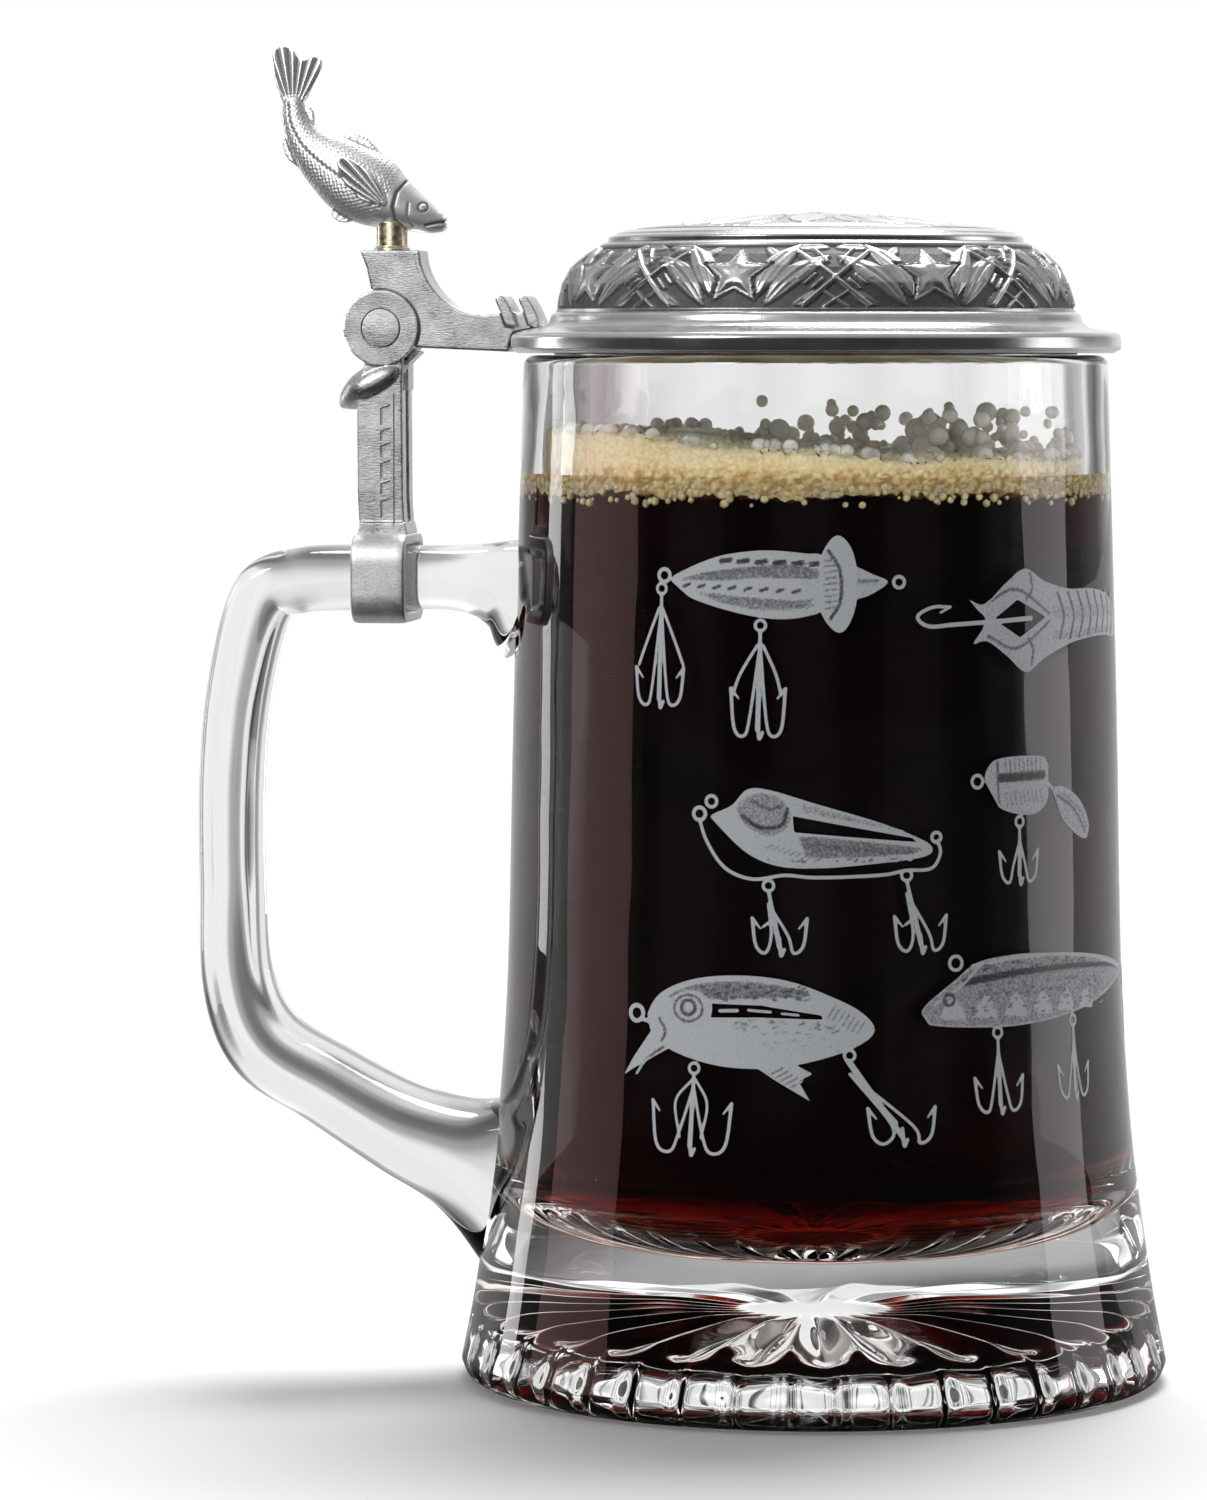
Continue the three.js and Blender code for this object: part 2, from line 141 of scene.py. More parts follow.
def remapped(tree, value, low, high, to_low=0.0, to_high=1.0):
    """A value carried from one range to another."""
    return add_node(tree, "MapRange", {"Value": value, "From Min": low, "From Max": high,
                                       "To Min": to_low, "To Max": to_high}).outputs["Result"]


def noise(tree, where, scale, detail, roughness=0.5):
    """A noise texture's value; the scale is in cells a millimetre when where is in millimetres."""
    return add_node(tree, "TexNoise", {"Vector": where, "Scale": scale, "Detail": detail,
                                       "Roughness": roughness}).outputs["Fac"]


def bumped(tree, height, distance):
    """A surface normal from a height whose full range is that many millimetres."""
    return add_node(tree, "Bump", {"Height": height, "Distance": distance * MM}).outputs[0]


def add_ramp(tree, factor, stops, interpolation="LINEAR"):
    """A colour ramp over (place, grey or colour) stops."""
    node = add_node(tree, "ValToRGB", {"Fac": factor})
    node.color_ramp.interpolation = interpolation
    elements = node.color_ramp.elements
    while len(elements) < len(stops):
        elements.new(1.0)
    for element, (place, colour) in zip(elements, stops):
        element.position = place
        element.color = (*colour, 1) if isinstance(colour, tuple) else (colour, colour, colour, 1)
    return node.outputs["Color"]


def mixed(tree, blend, factor, first, second):
    """Two colours mixed; each of the last three is a number, a colour or a socket."""
    colours = {0: factor, 6: first, 7: second}
    return add_node(tree, "Mix", colours, data_type="RGBA", blend_type=blend).outputs[2]


def eight_panels(tree, part):
    """1 in the eight directions of the compass from the stein and 0 half way between them."""
    bearing = sums(tree, "ARCTAN2", part.outputs["Y"], part.outputs["X"])
    wave = sums(tree, "COSINE", sums(tree, "MULTIPLY", bearing, 8.0))
    return remapped(tree, wave, -1.0, 1.0)


def add_world():
    """A studio dome: bright behind the object and overhead, dimmer in front, plain white to the camera.
    What is seen through glass is a ring of eight bright panels, the same from every side."""
    world = bpy.data.worlds.new("studio")
    world.use_nodes = True
    tree = world.node_tree
    tree.nodes.clear()
    part = add_node(tree, "SeparateXYZ", {"Vector": add_node(tree, "TexCoord").outputs["Generated"]})
    sweep_tone = add_ramp(tree, remapped(tree, part.outputs["Y"], -1.0, 1.0),
                          [(0.0, 0.03), (0.28, 0.035), (0.5, 0.1), (0.78, 0.16), (0.9, 0.32),
                           (0.99, 0.95)], "EASE")
    top_tone = add_ramp(tree, remapped(tree, part.outputs["Z"], -0.2, 1.0),
                        [(0.0, 0.0), (0.3, 0.0), (0.55, 0.3), (0.9, 0.45)], "EASE")
    panel_tone = add_ramp(tree, eight_panels(tree, part), [(0.0, 0.06), (0.3, 0.25), (0.7, 0.88)], "EASE")
    glow = mixed(tree, "ADD", 1.0, sweep_tone, top_tone)
    ring = mixed(tree, "ADD", 1.0, panel_tone, top_tone)
    path = add_node(tree, "LightPath")
    glow = mixed(tree, "MIX", path.outputs["Is Transmission Ray"], glow, ring)
    dome = add_node(tree, "Background", {"Color": glow, "Strength": 1.0})
    plain = add_node(tree, "Background", {"Color": (1, 1, 1, 1), "Strength": 1.0})
    both = add_node(tree, "MixShader",
                    {0: path.outputs["Is Camera Ray"], 1: dome.outputs[0], 2: plain.outputs[0]})
    add_node(tree, "OutputWorld", {"Surface": both.outputs[0]})
    bpy.context.scene.world = world


# Groups of pieces that some lights are kept to, with the material slots of the pieces in each.
LIT_SLOTS = {
    "glassware": ("glass", "beer"),
    "castings": ("cast_pewter", "fish_pewter", "steel_pin", "brass"),
    "fish": ("fish_pewter",),
    "drink": ("glass", "beer", "foam"),
    "stein": ("glass", "beer", "cast_pewter", "fish_pewter", "steel_pin", "brass", "turned_pewter",
              "patina_pewter", "polished_pewter", "enamel_print", "foam"),
}
LIT = {name: bpy.data.collections.new("lit_" + name) for name in LIT_SLOTS}


def add_softbox(name, bearing, distance, height, width, tall, power, lit, colour=(1, 1, 1)):
    """A rectangular studio light that faces the stein, in metres and watts. bearing is in degrees from
    +X, anticlockwise, and lit names the group of pieces that it reaches."""
    data = bpy.data.lights.new(name, "AREA")
    data.shape = "RECTANGLE"
    data.size = width
    data.size_y = tall
    data.energy = power
    data.color = colour
    light = bpy.data.objects.new(name, data)
    bpy.context.scene.collection.objects.link(light)
    turn = math.radians(bearing)
    light.location = (distance * math.cos(turn) + AXIS_X, distance * math.sin(turn), height)
    light.visible_camera = False
    target = Vector((AXIS_X, 0, 0.09))
    light.rotation_euler = (target - light.location).to_track_quat("-Z", "Y").to_euler()
    light.light_linking.receiver_collection = LIT[lit]
    return data


def soften_glare(light):
    """Keeps a light out of reflections and refractions: only rays that left a matt surface see it."""
    light.use_nodes = True
    tree = light.node_tree
    emission = next(node for node in tree.nodes if node.bl_idname == "ShaderNodeEmission")
    path = add_node(tree, "LightPath")
    fill_in(tree, emission, {"Strength": sums(tree, "MINIMUM", path.outputs["Diffuse Depth"], 1.0)})


def add_lights():
    """Small lights that are each kept to some of the pieces, and a broad soft sun overhead."""
    add_softbox("right_softbox", 12, 0.6, 0.165, 0.28, 0.33, 0.45, "stein", (1.0, 0.93, 0.97))
    add_softbox("left_strip", 158, 0.6, 0.165, 0.095, 0.33, 0.4, "stein")
    add_softbox("left_glow", -171, 0.55, 0.165, 0.33, 0.33, 0.3, "glassware", (1.0, 0.58, 0.58))
    add_softbox("front_fill", -128, 2.4, 1.7, 0.8, 0.8, 26, "stein")
    add_softbox("pewter_bank", -106, 2.0, 0.75, 1.3, 1.1, 9, "castings")
    soften_glare(add_softbox("drink_fill", -80, 1.6, 0.32, 1.0, 0.5, 13, "drink", (1.0, 0.96, 0.9)))
    add_softbox("fish_card", -108, 1.5, 0.1, 0.9, 0.3, 4, "fish")
    data = bpy.data.lights.new("overhead_bank", "SUN")
    data.energy = 2.6
    data.angle = math.radians(34)
    bank = bpy.data.objects.new("overhead_bank", data)
    bpy.context.scene.collection.objects.link(bank)
    bank.visible_transmission = False
    bank.rotation_euler = Vector((-0.06, -0.5, -1.0)).to_track_quat("-Z", "Y").to_euler()


def add_floor():
    """A wide pale sweep of paper. Reflections see the paper in front painted near black, a painted dark
    reflection, and what is seen through glass is a painted shadow under the stein, a dark disc that
    fades out to the paper, crossed by eight painted bright panels."""
    floor = grid_mesh([[(r * math.cos(a), r * math.sin(a), 0.0) for a in np.linspace(0, 2 * np.pi, 64, False)]
                       for r in (0, 300, 900, 2500, 8000)])
    floor.transform(TO_FRAME)
    floor.name = "studio_floor"
    material, tree, shader = new_material("floor_paper_painted_light_and_shade")
    grain = add_node(tree, "TexNoise", {"Scale": 60.0, "Detail": 3.0})
    paper = add_ramp(tree, grain.outputs["Fac"], [(0.3, 0.9), (0.7, 0.93)])
    where = add_node(tree, "TexCoord").outputs["Object"]
    part = add_node(tree, "SeparateXYZ", {"Vector": where})
    # Painted dark reflection: rays other than the camera's and those through glass see the paper in front
    # painted near black, as a black card would look.
    painted_dark_front = add_ramp(tree, remapped(tree, part.outputs["Y"], -0.45, 0.25),
                    [(0.0, 0.03), (0.55, 0.05), (0.8, 0.34), (1.0, 0.55)], "EASE")
    away = add_node(tree, "VectorMath", {0: where, 1: (0.032, 0, 0)}, operation="DISTANCE").outputs["Value"]
    # Painted shadow under the stein, seen only through the glass: darkest at the foot and fading out to the
    # paper.
    disc = add_ramp(tree, remapped(tree, away, 0.05, 0.25),
                    [(0.0, 0.2), (0.12, 0.34), (0.3, 0.6), (1.0, 0.74)], "EASE")
    # Painted light: eight bright panels on the paper, seen only through the glass, like the world's ring.
    sector = add_ramp(tree, eight_panels(tree, part), [(0.0, 0.14), (0.3, 0.4), (0.65, 1.0)], "EASE")
    path = add_node(tree, "LightPath")
    through = mixed(tree, "MULTIPLY", 1.0, disc, sector)
    unseen = mixed(tree, "MIX", path.outputs["Is Transmission Ray"], painted_dark_front, through)
    fill_in(tree, shader, {"Base Color": mixed(tree, "MIX", path.outputs["Is Camera Ray"], unseen, paper),
                           "Roughness": 0.9, "Specular IOR Level": 0.1})
    floor.materials.append(material)
    stage = bpy.data.objects.new("studio_floor", floor)
    bpy.context.scene.collection.objects.link(stage)


# ---------------------------------------------------------------- mesh helpers


def spline(points, count):
    """A uniform Catmull-Rom curve through the points, as count + 1 places."""
    knots = np.array(points, float)
    knots = np.vstack([2 * knots[0] - knots[1], knots, 2 * knots[-1] - knots[-2]])
    at = np.linspace(0, len(points) - 1, count + 1)
    first = np.minimum(at.astype(int), len(points) - 2)
    t = (at - first)[:, None]
    a, b, c, d = (knots[first + k] for k in range(4))
    return 0.5 * (2 * b + (c - a) * t + (2 * a - 5 * b + 4 * c - d) * t**2 + (3 * b - a - 3 * c + d) * t**3)


def closed_spline(points, steps=5):
    """A smooth closed outline through the points, with that many steps between neighbours."""
    around = np.array(points[-1:] + points + points[:2], float)
    fine = spline(around, (len(around) - 1) * steps)
    return fine[steps:-2 * steps]


def bezier(points, count):
    """A cubic Bezier curve as count + 1 places."""
    a, b, c, d = np.array(points, float)
    t = np.linspace(0, 1, count + 1)[:, None]
    return a * (1 - t)**3 + 3 * b * t * (1 - t)**2 + 3 * c * t**2 * (1 - t) + d * t**3


def arc(centre, radius, start, end, count=12):
    """Points of an arc, with angles in degrees."""
    angles = np.radians(np.linspace(start, end, count + 1))
    return [(centre[0] + radius * math.cos(a), centre[1] + radius * math.sin(a)) for a in angles]


def filleted(points, radius, steps=4, closed=True):
    """Rounds the corners of an outline; where it is open, its two ends stay as they are."""
    points = np.array(points, float)
    rounded = []
    for i, corner in enumerate(points):
        if not closed and i in (0, len(points) - 1):
            rounded.append(corner)
            continue
        before = points[i - 1] - corner
        after = points[(i + 1) % len(points)] - corner
        reach_before, reach_after = np.linalg.norm(before), np.linalg.norm(after)
        reach = min(radius, 0.45 * reach_before, 0.45 * reach_after)
        start = corner + before / reach_before * reach
        end = corner + after / reach_after * reach
        for t in np.linspace(0, 1, steps + 1):
            rounded.append(start * (1 - t)**2 + 2 * corner * t * (1 - t) + end * t**2)
    return np.array(rounded)


def even(points, step):
    """The same line with points about that far apart."""
    points = np.array(points, float)
    along = running_length(points)
    at = np.linspace(0, along[-1], max(2, int(round(along[-1] / step)) + 1))
    return np.stack([np.interp(at, along, points[:, k]) for k in range(points.shape[1])], axis=1)


def grid_mesh(points, closed_rows=False):
    """A skin over rows of points that each run in a ring. Rings that meet in a point are not merged and open
    ends are not capped here; tidied does both, which makes a closed solid unless its caller made a sheet."""
    points = np.array(points, float)
    rows, columns = points.shape[:2]
    index = np.arange(rows * columns).reshape(rows, columns)
    if closed_rows:
        index = np.vstack([index, index[:1]])
    turn = np.roll(index, -1, axis=1)
    faces = np.stack([index[:-1], turn[:-1], turn[1:], index[1:]], axis=-1).reshape(-1, 4)
    mesh = bpy.data.meshes.new("skin")
    mesh.from_pydata(points.reshape(-1, 3).tolist(), [], faces.tolist())
    return mesh


def tidied(mesh, capped=True):
    """Merges points that coincide, caps open rings, and turns the faces outwards."""
    shape = bmesh.new()
    shape.from_mesh(mesh)
    bmesh.ops.remove_doubles(shape, verts=shape.verts, dist=1e-4)
    bmesh.ops.dissolve_degenerate(shape, edges=shape.edges, dist=1e-5)
    if capped:
        bmesh.ops.holes_fill(shape, edges=shape.edges, sides=0)
    bmesh.ops.recalc_face_normals(shape, faces=shape.faces)
    shape.to_mesh(mesh)
    shape.free()
    return mesh


def turned(profile, segments, shape=None):
    """A solid of revolution about the glass axis. A profile from axis to axis is closed there, any
    other profile closes on itself. shape may move the (radius, z) of every point, given the angle."""
    outline = np.array(profile, float)
    theta = np.linspace(0, 2 * np.pi, segments, endpoint=False)
    radius = np.repeat(outline[:, :1], segments, axis=1)
    height = np.repeat(outline[:, 1:], segments, axis=1)
    if shape:
        radius, height = shape(radius, height, theta)
    points = np.stack([radius * np.cos(theta), radius * np.sin(theta), height], axis=-1)
    on_axis = outline[0, 0] == 0 and outline[-1, 0] == 0
    return tidied(grid_mesh(points, closed_rows=not on_axis))


def hinge_rod(profile, segments=64):
    """A turned solid whose axis is the hinge's; the profile is (radius, y)."""
    mesh = turned(profile, segments)
    lay = Matrix.Rotation(-math.pi / 2, 4, "X")
    mesh.transform(Matrix.Translation((HINGE_X, 0, HINGE_Z)) @ lay)
    return mesh


def hinge_disc(radius, low, high):
    """A plain disc on the hinge's axis, between two places along Y."""
    return hinge_rod(((0, low), (radius, low), (radius, high), (0, high)))


def upright_rod(profile, x, segments=48):
    """A turned solid whose axis is vertical, x millimetres from the glass axis."""
    mesh = turned(profile, segments)
    mesh.transform(Matrix.Translation((x, 0, 0)))
    return mesh


def plate(outline, low, high):
    """An outline in the XZ plane, extruded along Y from low to high."""
    shape = bmesh.new()
    face = shape.faces.new([shape.verts.new((x, low, z)) for x, z in outline])
    grown = bmesh.ops.extrude_face_region(shape, geom=[face])
    moved = [v for v in grown["geom"] if isinstance(v, bmesh.types.BMVert)]
    bmesh.ops.translate(shape, verts=moved, vec=(0, high - low, 0))
    bmesh.ops.recalc_face_normals(shape, faces=shape.faces)
    bmesh.ops.triangulate(shape, faces=shape.faces)
    mesh = bpy.data.meshes.new("plate")
    shape.to_mesh(mesh)
    shape.free()
    return mesh


def side_plate(outline, side, near, far):
    """A plate on one side of the mirror plane, between two distances from it."""
    return plate(outline, *sorted((side * near, side * far)))


def swept(stations, steps, sides, squareness):
    """A skin along a path in the XZ plane through [x, z, thickness, width] stations, with rounded
    rectangular sections; squareness 2 is an ellipse."""
    fine = spline(stations, steps)
    along = np.gradient(fine[:, :2], axis=0)
    along /= np.linalg.norm(along, axis=1, keepdims=True)
    across = np.stack([along[:, 1], -along[:, 0]], axis=1)
    angle = 2 * np.pi * (np.arange(sides) + 0.5) / sides
    side, depth = (np.sign(wave) * np.abs(wave) ** (2 / squareness)
                   for wave in (np.cos(angle), np.sin(angle)))
    rings = []
    for centre, direction, (thickness, width) in zip(fine[:, :2], across, fine[:, 2:4]):
        xz = centre + np.outer(side * thickness / 2, direction)
        rings.append(np.stack([xz[:, 0], depth * width / 2, xz[:, 1]], axis=1))
    return tidied(grid_mesh(rings))


def ball(centre, radius, detail=2, stretch=(1, 1, 1)):
    """A rounded ball of triangles."""
    shape = bmesh.new()
    bmesh.ops.create_icosphere(shape, subdivisions=detail, radius=1.0)
    mesh = bpy.data.meshes.new("ball")
    shape.to_mesh(mesh)
    shape.free()
    size = Matrix.Diagonal((*(radius * k for k in stretch), 1))
    mesh.transform(Matrix.Translation(centre) @ size)
    return mesh


def held(mesh):
    """A throwaway object for modifiers."""
    holder = bpy.data.objects.new("holder", mesh)
    bpy.context.scene.collection.objects.link(holder)
    return holder


def applied(holder, *others):
    """The mesh that an object's modifiers make. The throwaway objects go."""
    bpy.context.view_layer.update()
    depsgraph = bpy.context.evaluated_depsgraph_get()
    mesh = bpy.data.meshes.new_from_object(holder.evaluated_get(depsgraph))
    for thing in (holder, *others):
        bpy.data.objects.remove(thing)
    return mesh


def joined(meshes):
    """Several meshes as one, left overlapping."""
    shape = bmesh.new()
    for mesh in meshes:
        shape.from_mesh(mesh)
    mesh = bpy.data.meshes.new("joined")
    shape.to_mesh(mesh)
    shape.free()
    return mesh


def fused(meshes, voxel, relax):
    """One skin over overlapping solids, with the soft edges of a casting."""
    holder = held(joined(meshes))
    remesh = holder.modifiers.new("remesh", "REMESH")
    remesh.mode = "VOXEL"
    remesh.voxel_size = voxel
    soften = holder.modifiers.new("soften", "SMOOTH")
    soften.factor = 0.5
    soften.iterations = relax
    return applied(holder)


def boolean(mesh, tools, operation="DIFFERENCE"):
    """The mesh with tools cut from it, or joined to it exactly."""
    holder = held(mesh)
    others = [held(tool) for tool in tools]
    for other in others:
        step = holder.modifiers.new("step", "BOOLEAN")
        step.operation = operation
        step.solver = "EXACT"
        step.object = other
    return applied(holder, *others)


def places(mesh):
    """The mesh's points as an array."""
    flat = np.zeros(len(mesh.vertices) * 3)
    mesh.vertices.foreach_get("co", flat)
    return flat.reshape(-1, 3)


def push(mesh, amount):
    """Moves every point along its normal by its own amount."""
    flat = np.zeros(len(mesh.vertices) * 3)
    mesh.vertices.foreach_get("normal", flat)
    moved = places(mesh) + flat.reshape(-1, 3) * np.asarray(amount)[:, None]
    mesh.vertices.foreach_set("co", moved.ravel())
    mesh.update()


def mark(mesh, name, values):
    """Stores a number for each point, which the materials read."""
    layer = mesh.attributes.new(name, "FLOAT", "POINT")
    layer.data.foreach_set("value", np.asarray(values, np.float32))


def add_piece(name, mesh, material, body, slot, *nodes, crease=38):
    """Puts a mesh drawn in millimetres into the frame as a piece of that body."""
    mesh.transform(TO_FRAME)
    mesh.name = name
    mesh.polygons.foreach_set("use_smooth", [True] * len(mesh.polygons))
    mesh.set_sharp_from_angle(angle=math.radians(crease))
    mesh.materials.clear()
    mesh.materials.append(material)
    piece = bpy.data.objects.new(name, mesh)
    bpy.context.scene.collection.objects.link(piece)
    for group, slots in LIT_SLOTS.items():
        if slot in slots:
            LIT[group].objects.link(piece)
    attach(piece, body)
    if nodes:
        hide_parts(*nodes)
    return piece


def smooth_step(value, low, high):
    """0 below low, 1 above high, and an even ease between them."""
    t = np.clip((value - low) / (high - low), 0, 1)
    return t * t * (3 - 2 * t)


def to_segment(x, y, start, end):
    """How far along a segment each place's nearest point is, 0 to 1, and how far away it is."""
    span = np.subtract(end, start)
    t = np.clip(((x - start[0]) * span[0] + (y - start[1]) * span[1]) / max(span @ span, 1e-9), 0, 1)
    return t, np.hypot(x - start[0] - t * span[0], y - start[1] - t * span[1])


def running_length(line):
    """The length of a line up to each of its points."""
    return np.concatenate([[0], np.cumsum(np.linalg.norm(np.diff(line, axis=0), axis=1))])


# ---------------------------------------------------------------- materials


def new_material(name):
    """A material with its node tree and its Principled shader."""
    material = bpy.data.materials.new(name)
    material.use_nodes = True
    tree = material.node_tree
    tree.nodes.clear()
    shader = add_node(tree, "BsdfPrincipled")
    add_node(tree, "OutputMaterial", {"Surface": shader.outputs[0]})
    return material, tree, shader


def about_axis(tree):
    """Object coordinates in millimetres about the glass axis."""
    where = add_node(tree, "TexCoord").outputs["Object"]
    return add_node(tree, "Mapping", {"Vector": where, "Location": (-AXIS_X / MM, 0, 0),
                                      "Scale": (1 / MM, 1 / MM, 1 / MM)}).outputs[0]


def turned_place(tree, where):
    """(radius, z) in millimetres as a vector, for tool lines that run round the axis."""
    part = add_node(tree, "SeparateXYZ", {"Vector": where})
    flat = add_node(tree, "CombineXYZ", {"X": part.outputs["X"], "Y": part.outputs["Y"]}).outputs[0]
    radius = add_node(tree, "VectorMath", {0: flat}, operation="LENGTH").outputs["Value"]
    return add_node(tree, "CombineXYZ", {"X": radius, "Z": part.outputs["Z"]}).outputs[0]


def pewter(name, tones, rough, lines=None, bump=0.02, worn=None):
    """Pewter. tones is its dark and bright colour, rough its roughness range, lines how the surface
    was worked: 'turned', 'brushed' or None for cast. worn names a point value, 0 in the hollows and 1
    on what hands rub bright."""
    material, tree, shader = new_material(name)
    where = about_axis(tree)
    worked = turned_place(tree, where) if lines == "turned" else where
    lean, stretch = {"turned": ((0, 0, 0), (7.0, 1.0, 7.0)), "brushed": ((0, 0.6, 0), (1.2, 6.0, 7.0)),
                     None: ((0, 0, 0), (2.2, 2.2, 2.2))}[lines]
    fine = add_node(tree, "Mapping", {"Vector": worked, "Rotation": lean, "Scale": stretch}).outputs[0]
    grain = noise(tree, fine, 1.0, 4.0, 0.6)
    cloud = noise(tree, where, 0.22, 5.0, 0.55)
    pits = noise(tree, where, 3.1, 2.0)
    uneven = sums(tree, "MULTIPLY", sums(tree, "ADD", grain, cloud), 0.5)
    colour = add_ramp(tree, uneven, [(0.38, tones[0]), (0.62, tones[1])])
    if worn:
        value = add_node(tree, "Attribute", attribute_name=worn).outputs["Fac"]
        shaken = sums(tree, "MULTIPLY_ADD", sums(tree, "ADD", pits, -0.5), 0.1, value)
        patina = add_ramp(tree, shaken, [(0.05, 0.3), (0.42, 0.55), (0.8, 1.0)])
        colour = mixed(tree, "MULTIPLY", 1.0, colour, patina)
        dull = remapped(tree, shaken, 0.1, 0.8, rough[1] + 0.22, rough[0])
    else:
        dull = remapped(tree, uneven, 0.35, 0.65, *rough)
    fill_in(tree, shader, {"Base Color": colour, "Roughness": dull, "Metallic": 1.0,
                           "Normal": bumped(tree, sums(tree, "MULTIPLY_ADD", pits, 0.35, grain), bump)})
    return material


def plain_metal(name, colour, rough, grain_scale):
    """A metal with fine mottling: colour and rough are the two ends of it."""
    material, tree, shader = new_material(name)
    grain = noise(tree, about_axis(tree), grain_scale, 4.0)
    fill_in(tree, shader, {"Base Color": add_ramp(tree, grain, [(0.38, colour[0]), (0.62, colour[1])]),
                           "Roughness": remapped(tree, grain, 0.3, 0.7, *rough), "Metallic": 1.0,
                           "Normal": bumped(tree, grain, 0.01)})
    return material


def glass_material():
    """Clear pressed glass, with the slow waviness that fire polishing leaves."""
    material, tree, shader = new_material("clear_glass")
    wave = noise(tree, about_axis(tree), 0.05, 1.0)
    fill_in(tree, shader, {"Base Color": (0.985, 0.995, 0.99, 1), "Roughness": 0.0, "IOR": 1.5,
                           "Transmission Weight": 1.0, "Normal": bumped(tree, wave, 0.25)})
    return material


def wetted_glass_material():
    """The inside of the glass below the ale, where light passes from glass to ale and hardly reflects."""
    material, tree, shader = new_material("wetted_glass")
    fill_in(tree, shader, {"Roughness": 0.0, "IOR": 1.12, "Transmission Weight": 1.0})
    return material


def beer_material():
    """Dark ale: it takes green and blue out quickly, so thin parts glow red."""
    material, tree, shader = new_material("dark_ale")
    fill_in(tree, shader, {"Base Color": (1, 1, 1, 1), "Roughness": 0.0, "IOR": 1.0,
                           "Transmission Weight": 1.0})
    absorb = add_node(tree, "VolumeAbsorption", {"Color": (0.74, 0.3, 0.12, 1), "Density": 280.0})
    output = next(node for node in tree.nodes if node.bl_idname == "ShaderNodeOutputMaterial")
    tree.links.new(absorb.outputs[0], output.inputs["Volume"])
    return material


def foam_material():
    """Tan foam with painted shade and painted highlight: dark in the seams between bubbles, pale on their
    caps.
    """
    material, tree, shader = new_material("foam")
    cap = add_node(tree, "Attribute", attribute_name="cap").outputs["Fac"]
    cells = add_node(tree, "TexVoronoi", {"Vector": about_axis(tree), "Scale": 1.6}, feature="F1")
    middle = cells.outputs["Distance"]
    # Painted shade in the seams and painted highlight on the caps: dark brown at a seam, near white at a
    # cap's middle.
    tone = add_ramp(tree, sums(tree, "MULTIPLY_ADD", middle, -0.35, cap), [
        (0.0, (0.50, 0.30, 0.09)), (0.3, (0.80, 0.60, 0.27)), (0.65, (0.95, 0.82, 0.52)),
        (1.0, (0.99, 0.95, 0.84))])
    fill_in(tree, shader, {"Base Color": tone, "Roughness": 0.22, "Subsurface Weight": 0.5,
                           "Subsurface Radius": (1.0, 0.7, 0.35), "Subsurface Scale": 0.003,
                           "Normal": bumped(tree, middle, -0.12)})
    return material


def bubble_material():
    """The milky skin of a large bubble."""
    material, tree, shader = new_material("bubble_skin")
    swirl = noise(tree, about_axis(tree), 0.9, 2.0)
    tone = add_ramp(tree, swirl, [(0.3, (0.93, 0.84, 0.66)), (0.7, (1.0, 0.97, 0.9))])
    fill_in(tree, shader, {"Base Color": tone, "Roughness": 0.12, "IOR": 1.3, "Transmission Weight": 0.08,
                           "Subsurface Weight": 0.6, "Subsurface Radius": (1.0, 0.9, 0.7),
                           "Subsurface Scale": 0.004})
    return material


def enamel_material():
    """White enamel print. The point value 'tone' runs from 0, bare, to 1, full white; between them the
    print is a fine stipple."""
    material, tree, shader = new_material("white_enamel")
    tone = add_node(tree, "Attribute", attribute_name="tone").outputs["Fac"]
    stipple = noise(tree, about_axis(tree), 2.6, 2.0, 0.7)
    printed = sums(tree, "MULTIPLY_ADD", sums(tree, "ADD", stipple, -0.5), 1.1, tone)
    colour = add_ramp(tree, printed, [(0.12, (0.10, 0.075, 0.085)), (0.5, (0.36, 0.37, 0.39)),
                                      (0.82, (0.76, 0.80, 0.84)), (1.0, (0.84, 0.88, 0.91))])
    fill_in(tree, shader, {"Base Color": colour, "Roughness": remapped(tree, stipple, 0.0, 1.0, 0.3, 0.5)})
    return material


# ---------------------------------------------------------------- glass


def glass_flank():
    """The outside of the glass from foot to mouth, as (radius, z)."""
    return spline([(FOOT_RADIUS, 3.2), (50.5, 13), (48.5, 26.4), (46.9, 40), (45.5, 62), (44.6, 102),
                   (MOUTH_RADIUS + 0.1, GLASS_TOP - 1.2)], 72)


FLANK = glass_flank()


def cavity_wall():
    """The inside of the glass from mouth to the middle of its floor, as (radius, z)."""
    corner = bezier([(42.0, 50), (41.6, 33), (36.0, CAVITY_FLOOR + 1.6), (22, CAVITY_FLOOR + 0.4)], 24)
    upper = spline([(MOUTH_RADIUS - WALL, GLASS_TOP - 1.2), (44.6 - WALL, 102), (42.0, 50)], 24)
    return np.vstack([upper[:-1], corner, [(12, CAVITY_FLOOR + 0.1), (0, CAVITY_FLOOR)]])


CAVITY = cavity_wall()


def flute_wave(theta):
    """A rounded triangle wave, one period a flute."""
    return np.arcsin(0.96 * np.cos(FLUTES * theta)) / math.asin(0.96)


def fluted(radius, height, theta):
    """Presses the star of flutes into the recess under the glass, and narrow ribs into its wall."""
    wave = flute_wave(theta)[None, :]
    scallop = np.exp(-(np.sin(FOOT_BLOCKS / 2 * theta) / 0.36) ** 2)[None, :]
    under = height < CAVITY_FLOOR * 0.6
    inside = under & (radius < 45.5)
    ceiling = inside * smooth_step(radius, 6, 16) * (1 - 0.75 * smooth_step(radius, 33, 40))
    wall = inside * smooth_step(radius, 36, 41.5) * smooth_step(height, 0, 1.2)
    return radius - 0.8 * wall * scallop, height + 0.9 * ceiling * wave * (1 - smooth_step(radius, 42, 44))


